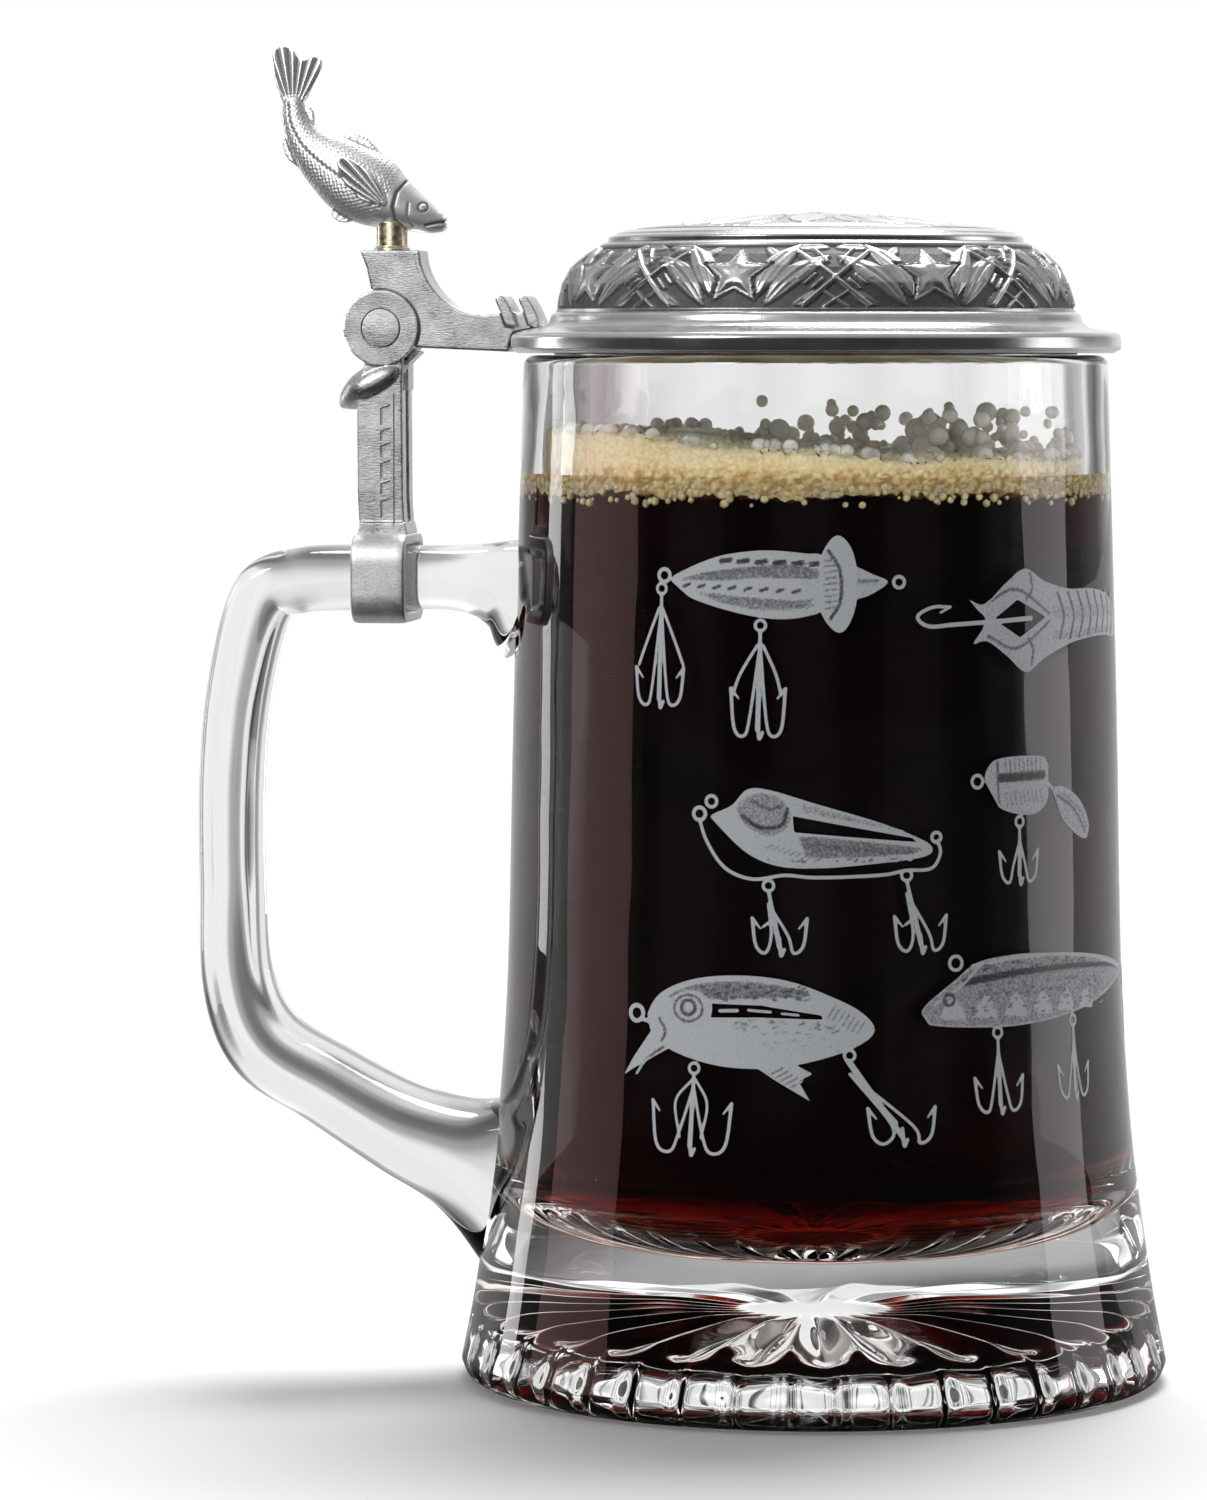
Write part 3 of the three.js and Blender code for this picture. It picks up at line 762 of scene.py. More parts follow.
def glass_profile():
    """The glass from the middle of its underside, up the outside, over the rim and down the cavity."""
    recess = spline([(0, 10.2), (7, 10.0), (20, 9.2), (34, 8.2), (41.0, 6.8), (44.4, 1.8)], 48)
    foot = filleted([(44.4, 1.8), (45.6, 0), (49.4, 0), (51.6, 1.1), (FOOT_RADIUS, 3.2)], 1.0, closed=False)
    rim = bezier([FLANK[-1], (MOUTH_RADIUS - 0.2, GLASS_TOP + 0.4),
                  (MOUTH_RADIUS - WALL + 0.2, GLASS_TOP + 0.4),
                  CAVITY[0]], 10)
    below_rim = FLANK[-1] + 0.06 * (FLANK[-2] - FLANK[-1])
    below_lip = CAVITY[0] + 0.03 * (CAVITY[1] - CAVITY[0])
    return np.vstack([recess[:-1], foot[:-1], FLANK[:-1], [below_rim], rim, [below_lip], CAVITY[1:]])


def is_wetted(face):
    """True for the faces of the cavity from its floor to just over the ale."""
    x, y, z = face.center
    radius = math.hypot(x, y)
    faces_in = face.normal.x * x + face.normal.y * y < 0
    of_cavity = radius < MOUTH_RADIUS and (faces_in or radius < FLAT_FLOOR_RADIUS)
    return of_cavity and CAVITY_FLOOR - 0.3 < z < BEER_TOP + 1.0


def add_glass():
    """The fluted body with its handle grown on; the wetted faces have a material of their own."""
    body = turned(glass_profile(), 20 * FLUTES, fluted)
    bar = -REACH + 4.75
    handle = swept([
        (-42.0, 116.4, 20.0, 20.5), (-46.6, 118.2, 13.2, 18.8), (-53, 119.0, 9.8, 17.6),
        (-66, 119.0, 9.8, 17.4), (-76.5, 118.6, 9.8, 17.4), (-82.6, 115.9, 9.4, 17.2),
        (-86.2, 103.0, 8.9, 17.2), (bar, 89, 8.8, 17.2), (bar, 73, 8.8, 17.2), (-86.8, 58.4, 9.6, 17.4),
        (-82.4, 48.8, 11.2, 17.8), (-72.6, 42.6, 11.4, 18.6), (-62, 36.6, 13.0, 20.2),
        (-52.8, 32.8, 16.6, 22.2), (-44.4, 29.8, 28.0, 24.0)], 150, 64, 3.4)
    whole = boolean(body, [handle], "UNION")
    wet = [int(is_wetted(face)) for face in whole.polygons]
    piece = add_piece("stein_glass", whole, glass_material(), "root", "glass", "glass_stein", crease=50)
    piece.data.materials.append(wetted_glass_material())
    piece.data.polygons.foreach_set("material_index", wet)


# ---------------------------------------------------------------- ale and foam

OVERLAP = 0.1  # the ale reaches this far into the glass, so that no air shows between them
CORNER_TOP = 36  # below this height, where the cavity's wall curves in, the ale also reaches down


def add_beer():
    """The ale, a turned solid that fills the cavity up to BEER_TOP."""
    wall = CAVITY[CAVITY[:, 1] < BEER_TOP - 0.5]
    top = np.interp(BEER_TOP, CAVITY[::-1, 1], CAVITY[::-1, 0])
    profile = [(0, BEER_TOP), (top + OVERLAP, BEER_TOP)]
    for radius, z in wall:
        profile.append((radius + OVERLAP * (radius > 0), z - OVERLAP * (z < CORNER_TOP)))
    add_piece("ale", turned(profile, 192), beer_material(), "root", "beer")


def bubble_caps(points, pitch, seed):
    """For each point, 1 at the middle of the nearest bubble and 0 at the seam to the next."""
    draw = np.random.default_rng(seed)
    low, high = points.min(0), points.max(0)
    count = min(3 * int(np.prod((high - low)[:2]) / pitch**2), 9000)
    centres = points[draw.integers(0, len(points), count)]
    tree = kdtree.KDTree(count)
    for i, centre in enumerate(centres):
        tree.insert(centre, i)
    tree.balance()
    nearest = np.zeros(len(points))
    second = np.zeros(len(points))
    for i, point in enumerate(points):
        found = tree.find_n(point, 2)
        nearest[i] = found[0][2]
        second[i] = found[1][2]
    return 1 - nearest / np.maximum(second, 1e-6)


def foam_top(x, y):
    """The foam stands higher on the handle's side, and as a bank against the far wall."""
    lean = smooth_step(-x, -14, 34)
    bank = smooth_step(y, 12, 38)
    return 137.4 + 3.6 * lean + 0.6 * bank + 0.5 * np.sin(0.21 * x + 1.0) * np.cos(0.17 * y)


def add_foam():
    """A skin of bubbles over a disc that fills the glass, pressed flat where it meets the glass."""
    segments = 420
    theta = np.linspace(0, 2 * np.pi, segments, endpoint=False)
    wall = 40.5
    under = [(r, 0.0) for r in np.linspace(0, wall, 24)]
    side = [(wall, k) for k in np.linspace(0, 1, 22)[1:-1]]
    over = [(r, 1.0) for r in np.linspace(wall, 0, 110)]
    rows = []
    for radius, share in under + side + over:
        x, y = radius * np.cos(theta), radius * np.sin(theta)
        low = BEER_TOP - 0.9 + 0.5 * np.sin(9 * theta) * np.sin(4 * theta + 1)
        high = foam_top(x, y)
        rows.append(np.stack([x, y, low + (high - low) * share], axis=1))
    mesh = tidied(grid_mesh(rows))
    here = places(mesh)
    large = bubble_caps(here, 2.2, 11)
    small = bubble_caps(here, 0.9, 12)
    # The cap values carry the foam's painted highlight on bubble caps and painted shade in their seams;
    # higher up they even out to creamy foam.
    creamy = smooth_step(here[:, 2], BEER_TOP + 1.5, BEER_TOP + 4.0)
    caps = (1 - 0.65 * creamy) * (0.5 * large + 0.5 * small) + 0.58 * creamy
    push(mesh, 1.15 * np.sqrt(np.clip(large, 0, 1)) + 0.4 * small - 0.8)
    here = places(mesh)
    radius = np.hypot(here[:, 0], here[:, 1])
    limit = np.interp(here[:, 2], CAVITY[::-1, 1], CAVITY[::-1, 0]) - 0.03
    here[:, :2] *= np.minimum(1, limit / np.maximum(radius, 1e-6))[:, None]
    mesh.vertices.foreach_set("co", here.ravel())
    mark(mesh, "cap", caps)
    add_piece("foam", mesh, foam_material(), "root", "foam", crease=80)


def add_bubbles():
    """Large bubbles: a row along the glass, a pile on the side away from the handle, and beads under the
    foam's lower edge."""
    draw = random.Random(5)
    skins = []
    for k in range(210):
        in_row = k < 90
        turn = draw.uniform(0, 2 * math.pi) if in_row else math.radians(draw.uniform(-25, 112))
        size = draw.uniform(0.5, 1.2 if in_row else 1.8)
        radius = 39.0 - size * 0.9 if in_row else draw.uniform(16, 38.2)
        rise = 0.5 * size if in_row else 0.4 + 6.2 * draw.random() ** 1.8
        x, y = radius * math.cos(turn), radius * math.sin(turn)
        skins.append(ball((x, y, float(foam_top(x, y)) + rise), size, 3))
    add_piece("foam_bubbles", joined(skins), bubble_material(), "root", "foam", crease=80)
    beads = []
    for _ in range(520):
        turn = draw.uniform(0, 2 * math.pi)
        size = draw.uniform(0.25, 0.8)
        drop = draw.random() ** 2 * 2.6
        wall = 40.2 - size
        beads.append(ball((wall * math.cos(turn), wall * math.sin(turn), BEER_TOP - drop + 0.4), size, 1))
    mesh = joined(beads)
    mark(mesh, "cap", [0.62] * len(mesh.vertices))
    add_piece("foam_beads", mesh, foam_material(), "root", "foam", crease=80)


# ---------------------------------------------------------------- lid

RELIEF_REPEATS = 8
RELIEF_PERIOD = 28.3  # mm round the band, at its middle
STAR_BEARING = -13.0  # degrees, the middle of one star


def lens(u, v, start, end, width, bend=0.0):
    """A leaf from start to end: across, 0 at its midrib and 1 at its edge, and along, 0 to 1."""
    start, end = np.array(start, float), np.array(end, float)
    span = end - start
    length = np.linalg.norm(span)
    along = ((u - start[0]) * span[0] + (v - start[1]) * span[1]) / length**2
    aside = ((u - start[0]) * span[1] - (v - start[1]) * span[0]) / length
    aside = aside - bend * np.sin(np.pi * np.clip(along, 0, 1))
    belly = 0.5 * width * np.sin(np.pi * np.clip(along, 0, 1)) ** 0.75
    inside = (along > 0) & (along < 1)
    return np.where(inside, np.abs(aside) / np.maximum(belly, 1e-6), 9.0), along, aside


def leaf_height(u, v, start, end, width, height, bend=0.0):
    """A leaf that swells towards its middle, with a sunk midrib and a vein on each side of it."""
    across, along, aside = lens(u, v, start, end, width, bend)
    body = height * (0.3 + 0.7 * np.clip(1 - across**2, 0, 1) ** 0.5)
    rib = 0.2 * np.exp(-(aside / 0.2) ** 2) * smooth_step(1 - along, 0.02, 0.3)
    veins = 0.09 * np.exp(-((across - 0.56) / 0.13) ** 2) * smooth_step(1 - along, 0.1, 0.5)
    return np.where(across < 1, body - rib - veins, 0)


def bar_height(u, v, start, end, width, height):
    """A rounded stem between two points."""
    away = to_segment(u, v, start, end)[1]
    return height * np.clip(1 - (away / (width / 2)) ** 2, 0, 1) ** 0.5


def star_side(u, v, centre, radius):
    """How far a point is inside a five-pointed star's outline; outside it the number is negative."""
    x, y = u - centre[0], v - centre[1]
    turn = np.arctan2(x, y)
    fold = np.abs((turn + np.pi / 5) % (2 * np.pi / 5) - np.pi / 5)
    reach = np.hypot(x, y)
    px, py = reach * np.cos(fold), reach * np.sin(fold)
    inner = 0.47 * radius
    ax, ay = radius, 0.0
    bx, by = inner * math.cos(math.pi / 5), inner * math.sin(math.pi / 5)
    return ((bx - ax) * (py - ay) - (by - ay) * (px - ax)) / math.hypot(bx - ax, by - ay)


def star_height(side):
    """A star with a raised rim and a ridge down each arm."""
    plateau = 0.42 * smooth_step(side, 0.0, 0.2)
    return plateau + 0.22 * smooth_step(side, 0.55, 1.6) - 0.14 * np.exp(-((side - 0.5) / 0.13) ** 2)


def band_relief(u, v, length):
    """Height of the cast pattern. u runs round the band from a star's middle, v up from its foot."""
    mirrored = np.abs(u)
    from_middle = np.abs(RELIEF_PERIOD / 2 - mirrored)
    height = np.zeros_like(mirrored)
    leaves = [
        ((4.3, 1.0), (13.6, 9.3), 3.3, 0.42, -0.9),
        ((3.1, 2.2), (9.2, 11.9), 3.5, 0.6, -0.8),
        ((13.9, 11.6), (7.6, 11.2), 1.9, 0.4, 0.3),
        ((3.6, 11.9), (6.4, 8.4), 1.7, 0.34, 0.0),
        ((8.2, 1.0), (12.4, 3.6), 1.6, 0.34, 0.2),
    ]
    for start, end, width, tall, bend in leaves:
        height = np.maximum(height, leaf_height(mirrored, v, start, end, width, tall, bend))
    bars = [((-5.6, 10.4), (4.4, 1.2), 0.8, 0.62), ((-3.2, 11.2), (-1.0, 8.2), 0.6, 0.5)]
    bars += [((0.9 + 0.95 * k, 4.3 + 0.75 * k), (2.3 + 0.95 * k, 2.9 + 0.75 * k), 0.55, 0.5)
             for k in range(4)]
    bars += [((-1.6, 0.9), (1.6, 3.1), 0.55, 0.42)]
    middle = RELIEF_PERIOD / 2 - mirrored
    for start, end, width, tall in bars:
        height = np.maximum(height, bar_height(middle, v, start, end, width, tall))
        height = np.maximum(height, bar_height(-middle, v, start, end, width, tall))
    side = star_side(u, v, (0, 5.9), 5.5)
    height = np.where(side > 0, star_height(side), height * smooth_step(-side, 0.05, 0.3))
    dots = 0.03 * np.sin(5.1 * u) * np.sin(5.7 * v + from_middle) * (height < 0.05)
    rims = 0.5 * (1 - smooth_step(v, 0.55, 0.85)) + 0.5 * smooth_step(v, length - 0.95, length - 0.7)
    return np.maximum(height + dots, rims)


def add_relief_band():
    """The band's skin, whose outside is moved in and out by the cast pattern."""
    outside = even([(38.2, 158.2), (38.2, 158.8), (37.9, 160.3), (37.3, 162.5), (36.0, 164.9), (33.9, 166.9),
                    (31.2, 168.5)], 0.15)
    inside = [(24.2, 168.5), (24.2, 167.0), (30.6, 167.0), (33.8, 164.4), (35.4, 161.2), (35.8, 158.2)]
    along = running_length(outside)
    slope = np.gradient(outside, axis=0)
    normal = np.stack([slope[:, 1], -slope[:, 0]], axis=1) / np.linalg.norm(slope, axis=1, keepdims=True)
    marks = []

    def raised(radius, height, theta):
        """Lays the pattern on the rows of the outside, which come first in the profile."""
        period = 2 * np.pi / RELIEF_REPEATS
        turn = (theta - math.radians(STAR_BEARING) + period / 2) % period - period / 2
        u, v = np.meshgrid(turn / period * RELIEF_PERIOD, along)
        lift = band_relief(u, v, along[-1])
        worn = np.zeros_like(radius)
        worn[:len(along)] = np.clip(lift / 0.6, 0, 1)
        marks.append(worn)
        radius[:len(along)] += (lift - 0.45) * normal[:, :1]
        height[:len(along)] += (lift - 0.45) * normal[:, 1:]
        return radius, height

    mesh = turned(np.vstack([outside, inside]), 120 * RELIEF_REPEATS, raised)
    mark(mesh, "worn", marks[0].ravel())
    look = pewter("patina_pewter", ((0.46, 0.47, 0.47), (0.66, 0.67, 0.67)), (0.3, 0.44), bump=0.01,
                  worn="worn")
    add_piece("lid_band", mesh, look, "lid", "patina_pewter", "lid_relief_band", crease=60)


def turned_pewter():
    """Bright pewter with fine round tool lines, for the lid's turned rings."""
    return pewter("turned_pewter", ((0.56, 0.57, 0.575), (0.70, 0.71, 0.71)), (0.17, 0.27), lines="turned",
                  bump=0.008)


def add_lid_rim(look):
    """The stepped flange that rests on the glass, and the lip under it that finds the mouth."""
    profile = filleted([(36.2, 152.4), (44.1, 152.4), (44.35, 152.75), (44.75, 152.75), (45.0, 153.1),
                        (45.0, 154.75), (44.5, 155.35), (40.2, 156.2), (39.3, 156.9), (39.0, 158.0),
                        (38.4, 158.4), (36.2, 158.4)], 0.35)
    add_piece("lid_flange", turned(profile, 288), look, "lid", "turned_pewter", "lid_rim")
    lip = filleted([(37.4, 151.0), (38.6, 151.0), (38.6, 152.5), (37.4, 152.5)], 0.25)
    add_piece("lid_lip", turned(lip, 192), look, "lid", "turned_pewter", "lid_inner_lip")


def add_top_ring(look):
    """The moulded ring round the medallion."""
    profile = filleted([(25.9, 168.3), (30.4, 168.3), (30.6, 168.6), (30.6, 169.3), (30.2, 169.6),
                        (29.5, 169.75), (29.2, 170.05), (27.4, 170.5), (27.1, 170.3), (26.7, 170.35),
                        (26.4, 170.75), (25.9, 170.75)], 0.22)
    add_piece("lid_bezel", turned(profile, 288), look, "lid", "polished_pewter", "lid_top_ring")


def rosette(x, y):
    """Height of the engraved rosette on the lid's top: a rope border, a ring of eight leaves, a boss."""
    radius, turn = np.hypot(x, y), np.arctan2(y, x)
    height = 0.30 * np.exp(-((radius - 23.6) / 0.8) ** 2) * (0.65 + 0.35 * np.sin(60 * turn + 2.2 * radius))
    height = np.maximum(height, 0.22 * np.exp(-((radius - 21.6) / 0.35) ** 2))
    sector = np.pi / 4
    for shift, near, far, width in ((0.0, 5.6, 20.2, 5.4), (0.5, 9.5, 20.6, 3.0)):
        fold = (turn / sector + shift + 0.5) % 1 - 0.5
        u, v = radius * np.sin(fold * sector), radius * np.cos(fold * sector)
        height = np.maximum(height, leaf_height(u, v, (0, near), (0, far), width, 0.3))
    boss = 0.4 * np.clip(1 - (radius / 4.4) ** 2, 0, 1) ** 0.5
    return np.maximum(height, boss * (0.75 + 0.25 * np.cos(8 * turn)))


def add_medallion():
    """The shallow dome on top, with the rosette standing up from it."""
    edge = 25.9
    dome = even(spline([(edge, 170.6), (20, 171.3), (10, 172.5), (0, 172.9)], 30), 0.22)
    profile = np.vstack([[(0, 168.4), (edge, 168.4)], dome])
    profile[-1, 0] = 0

    def engraved(radius, height, theta):
        lift = rosette(radius * np.cos(theta), radius * np.sin(theta))
        lift[:2] = 0
        lift *= 1 - smooth_step(radius, 25.0, 25.8)
        return radius, height + lift - 0.15 * (lift > 0)

    mesh = turned(profile, 480, engraved)
    here = places(mesh)
    mark(mesh, "worn", np.clip(rosette(here[:, 0], here[:, 1]) / 0.22 + 0.3, 0, 1))
    look = pewter("medallion_pewter", ((0.70, 0.71, 0.72), (0.84, 0.85, 0.86)), (0.16, 0.28), worn="worn")
    add_piece("lid_rosette", mesh, look, "lid", "polished_pewter", "lid_medallion")


# ---------------------------------------------------------------- hinge


def cast_pewter():
    """Filed and brushed castings, for the hinge and the lid's arm."""
    return pewter("cast_pewter", ((0.36, 0.37, 0.38), (0.84, 0.85, 0.86)), (0.22, 0.46), lines="brushed",
                  bump=0.045)


def strap_pewter():
    """The paler, duller pewter of the strap."""
    return pewter("strap_pewter", ((0.72, 0.72, 0.71), (0.96, 0.96, 0.94)), (0.42, 0.58), bump=0.03)


def add_tang(look):
    """The lid's arm: a block over the hinge, a concave sweep down to the flange with a line carved along
    it on each side, two small ribs, and the middle knuckle."""
    sweep_centre = (-48.6, 167.9)
    outline = [(-67.4, TANG_TOP), (-66.4, 165.0), (-65.6, 161.2), (HINGE_X, HINGE_Z), (-59.2, 153.2),
               (-45.2, 152.6), (-44.8, 155.2), (-44.4, 155.6), (-41.0, 156.3), (-41.6, 158.6), (-46.0, 158.3)]
    outline += arc(sweep_centre, 9.85, 270, 182, 20) + [(-58.5, TANG_TOP)]
    shells = [plate(outline, -4.3, 4.3)]
    for x in (-44.4, -40.9):
        rib = [(x - 1.3, 156.6), (x + 0.5, 156.4), (x - 0.2, 158.6), (x - 1.3, 160.5), (x - 2.1, 160.9),
               (x - 2.7, 160.3), (x - 2.0, 158.6)]
        shells.append(plate(closed_spline(rib, 4), -4.75, 4.75))
    block = fused(shells, CAST_VOXEL, 3)
    inner, outer = (arc(sweep_centre, radius, 268, 184, 20) for radius in (10.45, 10.7))
    block = boolean(block, [side_plate(inner + outer[::-1], side, 4.12, 5.0) for side in (-1, 1)])
    rooms = [hinge_disc(KNUCKLE_ROOM, 2.5, 6.0), hinge_disc(KNUCKLE_ROOM, -6.0, -2.5),
             hinge_disc(5.3, -3.0, 3.0)]
    block = boolean(block, rooms)
    knuckle = hinge_rod(filleted([(BORE_RADIUS, -2.6), (KNUCKLE_RADIUS, -2.6), (KNUCKLE_RADIUS, 2.6),
                                  (BORE_RADIUS, 2.6)], 0.3))
    add_piece("lid_arm", boolean(block, [knuckle], "UNION"), look, "lid", "cast_pewter", "lid_tang")


def add_shank(look):
    """The fixed half of the hinge: foot, two legs with a slit, leaf collar, stop tongue and knuckles."""
    foot = STRAP_HIGH[2] - 0.15
    leg = [(-67.4, foot), (-60.6, foot), (-60.9, 131), (-61.0, 147.5), (-60.9, 151.4), (-66.4, 151.4),
           (-67.8, 147.5), (-67.7, 131)]
    web = [(-67.4, foot), (-65.0, foot), (-65.4, 131), (-65.0, 145), (-61.2, 147.2), (-61.2, 149.2),
           (-66.4, 149.2), (-67.8, 147.5), (-67.7, 131)]
    leaf = swept([(-70.9, 144.5, 0.9, 2.6), (-69.7, 145.4, 3.4, 7.4), (-67.6, 146.8, 5.4, 10.8),
                  (-65.0, 148.2, 5.8, 11.5), (-62.6, 149.5, 4.4, 11.1),
                  (-60.8, 150.9, 1.5, 8.6)], 40, 36, 2.2)
    tongue = [(-62.6, 146.9), (-60.4, 146.9), (-60.4, 150.9), (-58.6, 152.6), (-59.8, 152.8), (-62.6, 150.5)]
    shoe = [(-67.8, foot), (-60.2, foot), (-60.6, foot + 1.7), (-67.2, foot + 1.7)]
    shells = [plate(web, -1.4, 1.4), leaf, plate(tongue, -2.6, 2.6), plate(shoe, -5.3, 5.3)]
    for side in (-1, 1):
        shells.append(side_plate(leg, side, 1.3, 4.9))
        shells.append(hinge_disc(KNUCKLE_RADIUS, side * 2.9, side * 5.0))
    casting = fused(shells, CAST_VOXEL, 3)
    gap = hinge_disc(KNUCKLE_ROOM, -2.9, 2.9)
    bore = hinge_disc(BORE_RADIUS, -7, 7)
    seats = [hinge_disc(3.0, 4.0, 7), hinge_disc(3.0, -7, -4.0)]
    whole = boolean(casting, [gap, bore, *seats, *shank_carving(-1), *shank_carving(1)])
    add_piece("hinge_post", whole, look, "root", "cast_pewter", "hinge_shank")


def shank_carving(side):
    """What is cut from one side of the shank: a column of cells, a line beside it, three round chips."""
    cuts = []
    cells = [(128.4, 131.0), (131.9, 133.6), (134.3, 136.6), (137.5, 139.2), (140.0, 141.4), (142.2, 144.8)]
    for low, high in cells:
        cell = [(-64.3, low - 0.5), (-62.8, low), (-62.8, high), (-64.3, high - 0.5)]
        cuts.append(side_plate(cell, side, 4.3, 5.6))
    line = [(-62.35, 127.0), (-62.1, 127.0), (-62.1, 146.4), (-62.35, 146.4)]
    cuts.append(side_plate(line, side, 4.3, 5.6))
    for angle in (146, 172, 205):
        turn = math.radians(angle)
        middle = (HINGE_X + 6.35 * math.cos(turn), HINGE_Z + 6.35 * math.sin(turn))
        cuts.append(side_plate(arc(middle, 1.4, 0, 345, 23), side, 3.6, 5.6))
    return cuts


def add_hinge_fittings(look):
    """The steel pin, and the pewter plugs that close its bore."""
    steel = plain_metal("pin_steel", ((0.45, 0.46, 0.48), (0.6, 0.61, 0.63)), (0.25, 0.4), 0.8)
    half = 4.7
    pin = hinge_rod(filleted([(0, -half), (1.6, -half), (1.6, half), (0, half)], 0.3, closed=False))
    add_piece("hinge_axle", pin, steel, "root", "steel_pin", "hinge_pin")
    near, far = 4.0, 5.12
    for name, side in (("pin_plug_front", -1), ("pin_plug_rear", 1)):
        profile = filleted([(0, near), (2.8, near), (2.8, far), (0, far)], 0.1, closed=False)
        profile[:, 1] *= side
        add_piece(name + "_head", hinge_rod(profile), look, "root", "cast_pewter", name, crease=15)


def add_strap(look):
    """A flat band round the glass arm: a rounded rectangle with soft edges."""
    inner_half, inner_low, inner_high = 8.85, STRAP_LOW[2] + 1.65, STRAP_HIGH[2] - 1.65
    corners = [(-inner_half, inner_low), (inner_half, inner_low), (inner_half, inner_high),
               (-inner_half, inner_high)]
    soft = filleted(corners, 2.6, 8)
    path = even(np.vstack([soft, soft[:1]]), 0.35)[:-1]
    slope = np.roll(path, -1, axis=0) - np.roll(path, 1, axis=0)
    normal = np.stack([slope[:, 1], -slope[:, 0]], axis=1) / np.linalg.norm(slope, axis=1, keepdims=True)
    x0, x1 = STRAP_LOW[0], STRAP_HIGH[0]
    section = filleted([(x0, 0), (x1, 0), (x1, 1.45), (x1 - 0.8, 1.58), (x0 + 0.8, 1.58),
                        (x0, 1.45)], 0.45, 4)
    rows = [[(x, *(place + out * normal[i])) for i, place in enumerate(path)] for x, out in section]
    mesh = tidied(grid_mesh(rows, closed_rows=True))
    add_piece("strap_band", mesh, look, "root", "cast_pewter", "handle_strap")


# ---------------------------------------------------------------- fish

FISH_STATIONS = [
    (-55.0, 171.7, 1.8, 1.4), (-55.9, 171.7, 2.9, 2.1), (-57.6, 172.2, 4.2, 3.1), (-60.3, 173.4, 6.2, 4.6),
    (-63.4, 174.9, 8.8, 5.9), (-66.0, 176.4, 10.6, 6.6), (-68.8, 178.0, 10.8, 6.6), (-71.5, 179.9, 9.7, 5.8),
    (-74.2, 181.9, 7.6, 4.6), (-76.3, 184.1, 5.6, 3.6), (-77.7, 187.0, 4.0, 2.8), (-78.1, 190.4, 3.0, 2.0)]
TAIL_ROOT = (-78.0, 187.5)
PECTORAL_ROOT = (-62.6, 173.2)
FISH_TOP = 197.95  # the tail is trimmed flat here
EYE = (-58.3, 174.0)


def carved(x, z, line, width, depth):
    """How far the points of a carved line are sunk, in the XZ plane."""
    away = np.full(x.shape, 99.0)
    for start, end in zip(line[:-1], line[1:]):
        away = np.minimum(away, to_segment(x, z, start, end)[1])
    return -depth * np.exp(-(away / width) ** 2)


def fish_shells():
    """The solids that the fish is cast from: body, tail, fins, eyes and the seat on the stud."""
    shells = [swept(FISH_STATIONS, 110, 40, 2.1)]
    tail = [(-79.4, 189.4), (-80.7, 193.4), (-81.0, 195.8), (-80.7, 197.4), (-79.6, 197.9), (-78.4, 197.6),
            (-77.2, 196.2), (-76.2, 195.9), (-74.9, 196.4), (-73.9, 195.9), (-73.8, 194.7), (-74.9, 192.4),
            (-76.8, 189.4)]
    shells.append(plate(closed_spline(tail, 3), -0.65, 0.65))
    fins = [
        ([(-71.2, 182.9), (-69.8, 184.9), (-67.4, 184.6), (-65.3, 182.6), (-63.6, 180.0)], 0.55),
        ([(-76.9, 186.6), (-76.0, 188.9), (-75.0, 188.3), (-74.9, 186.4), (-75.6, 185.4)], 0.5),
        ([(-77.3, 183.9), (-79.3, 184.2), (-79.5, 182.9), (-78.6, 181.0), (-76.2, 179.8)], 0.5),
        ([(-68.2, 172.6), (-70.6, 171.8), (-72.2, 172.9), (-71.6, 174.6), (-69.6, 174.8)], 0.9)]
    shells += [plate(closed_spline(points, 4), -half, half) for points, half in fins]
    pectoral = [(-63.9, 174.4), (-64.6, 177.0), (-67.2, 179.9), (-69.9, 181.3), (-70.7, 180.3),
                (-69.6, 177.6), (-66.8, 175.0)]
    for side in (-1, 1):
        shells.append(side_plate(closed_spline(pectoral, 4), side, 2.0, 3.65))
        shells.append(ball((EYE[0], side * 1.35, EYE[1]), 0.55))
    shells.append(upright_rod([(0, 171.2), (2.1, 171.2), (2.6, 173.4), (0, 173.4)], STUD_X))
    return shells


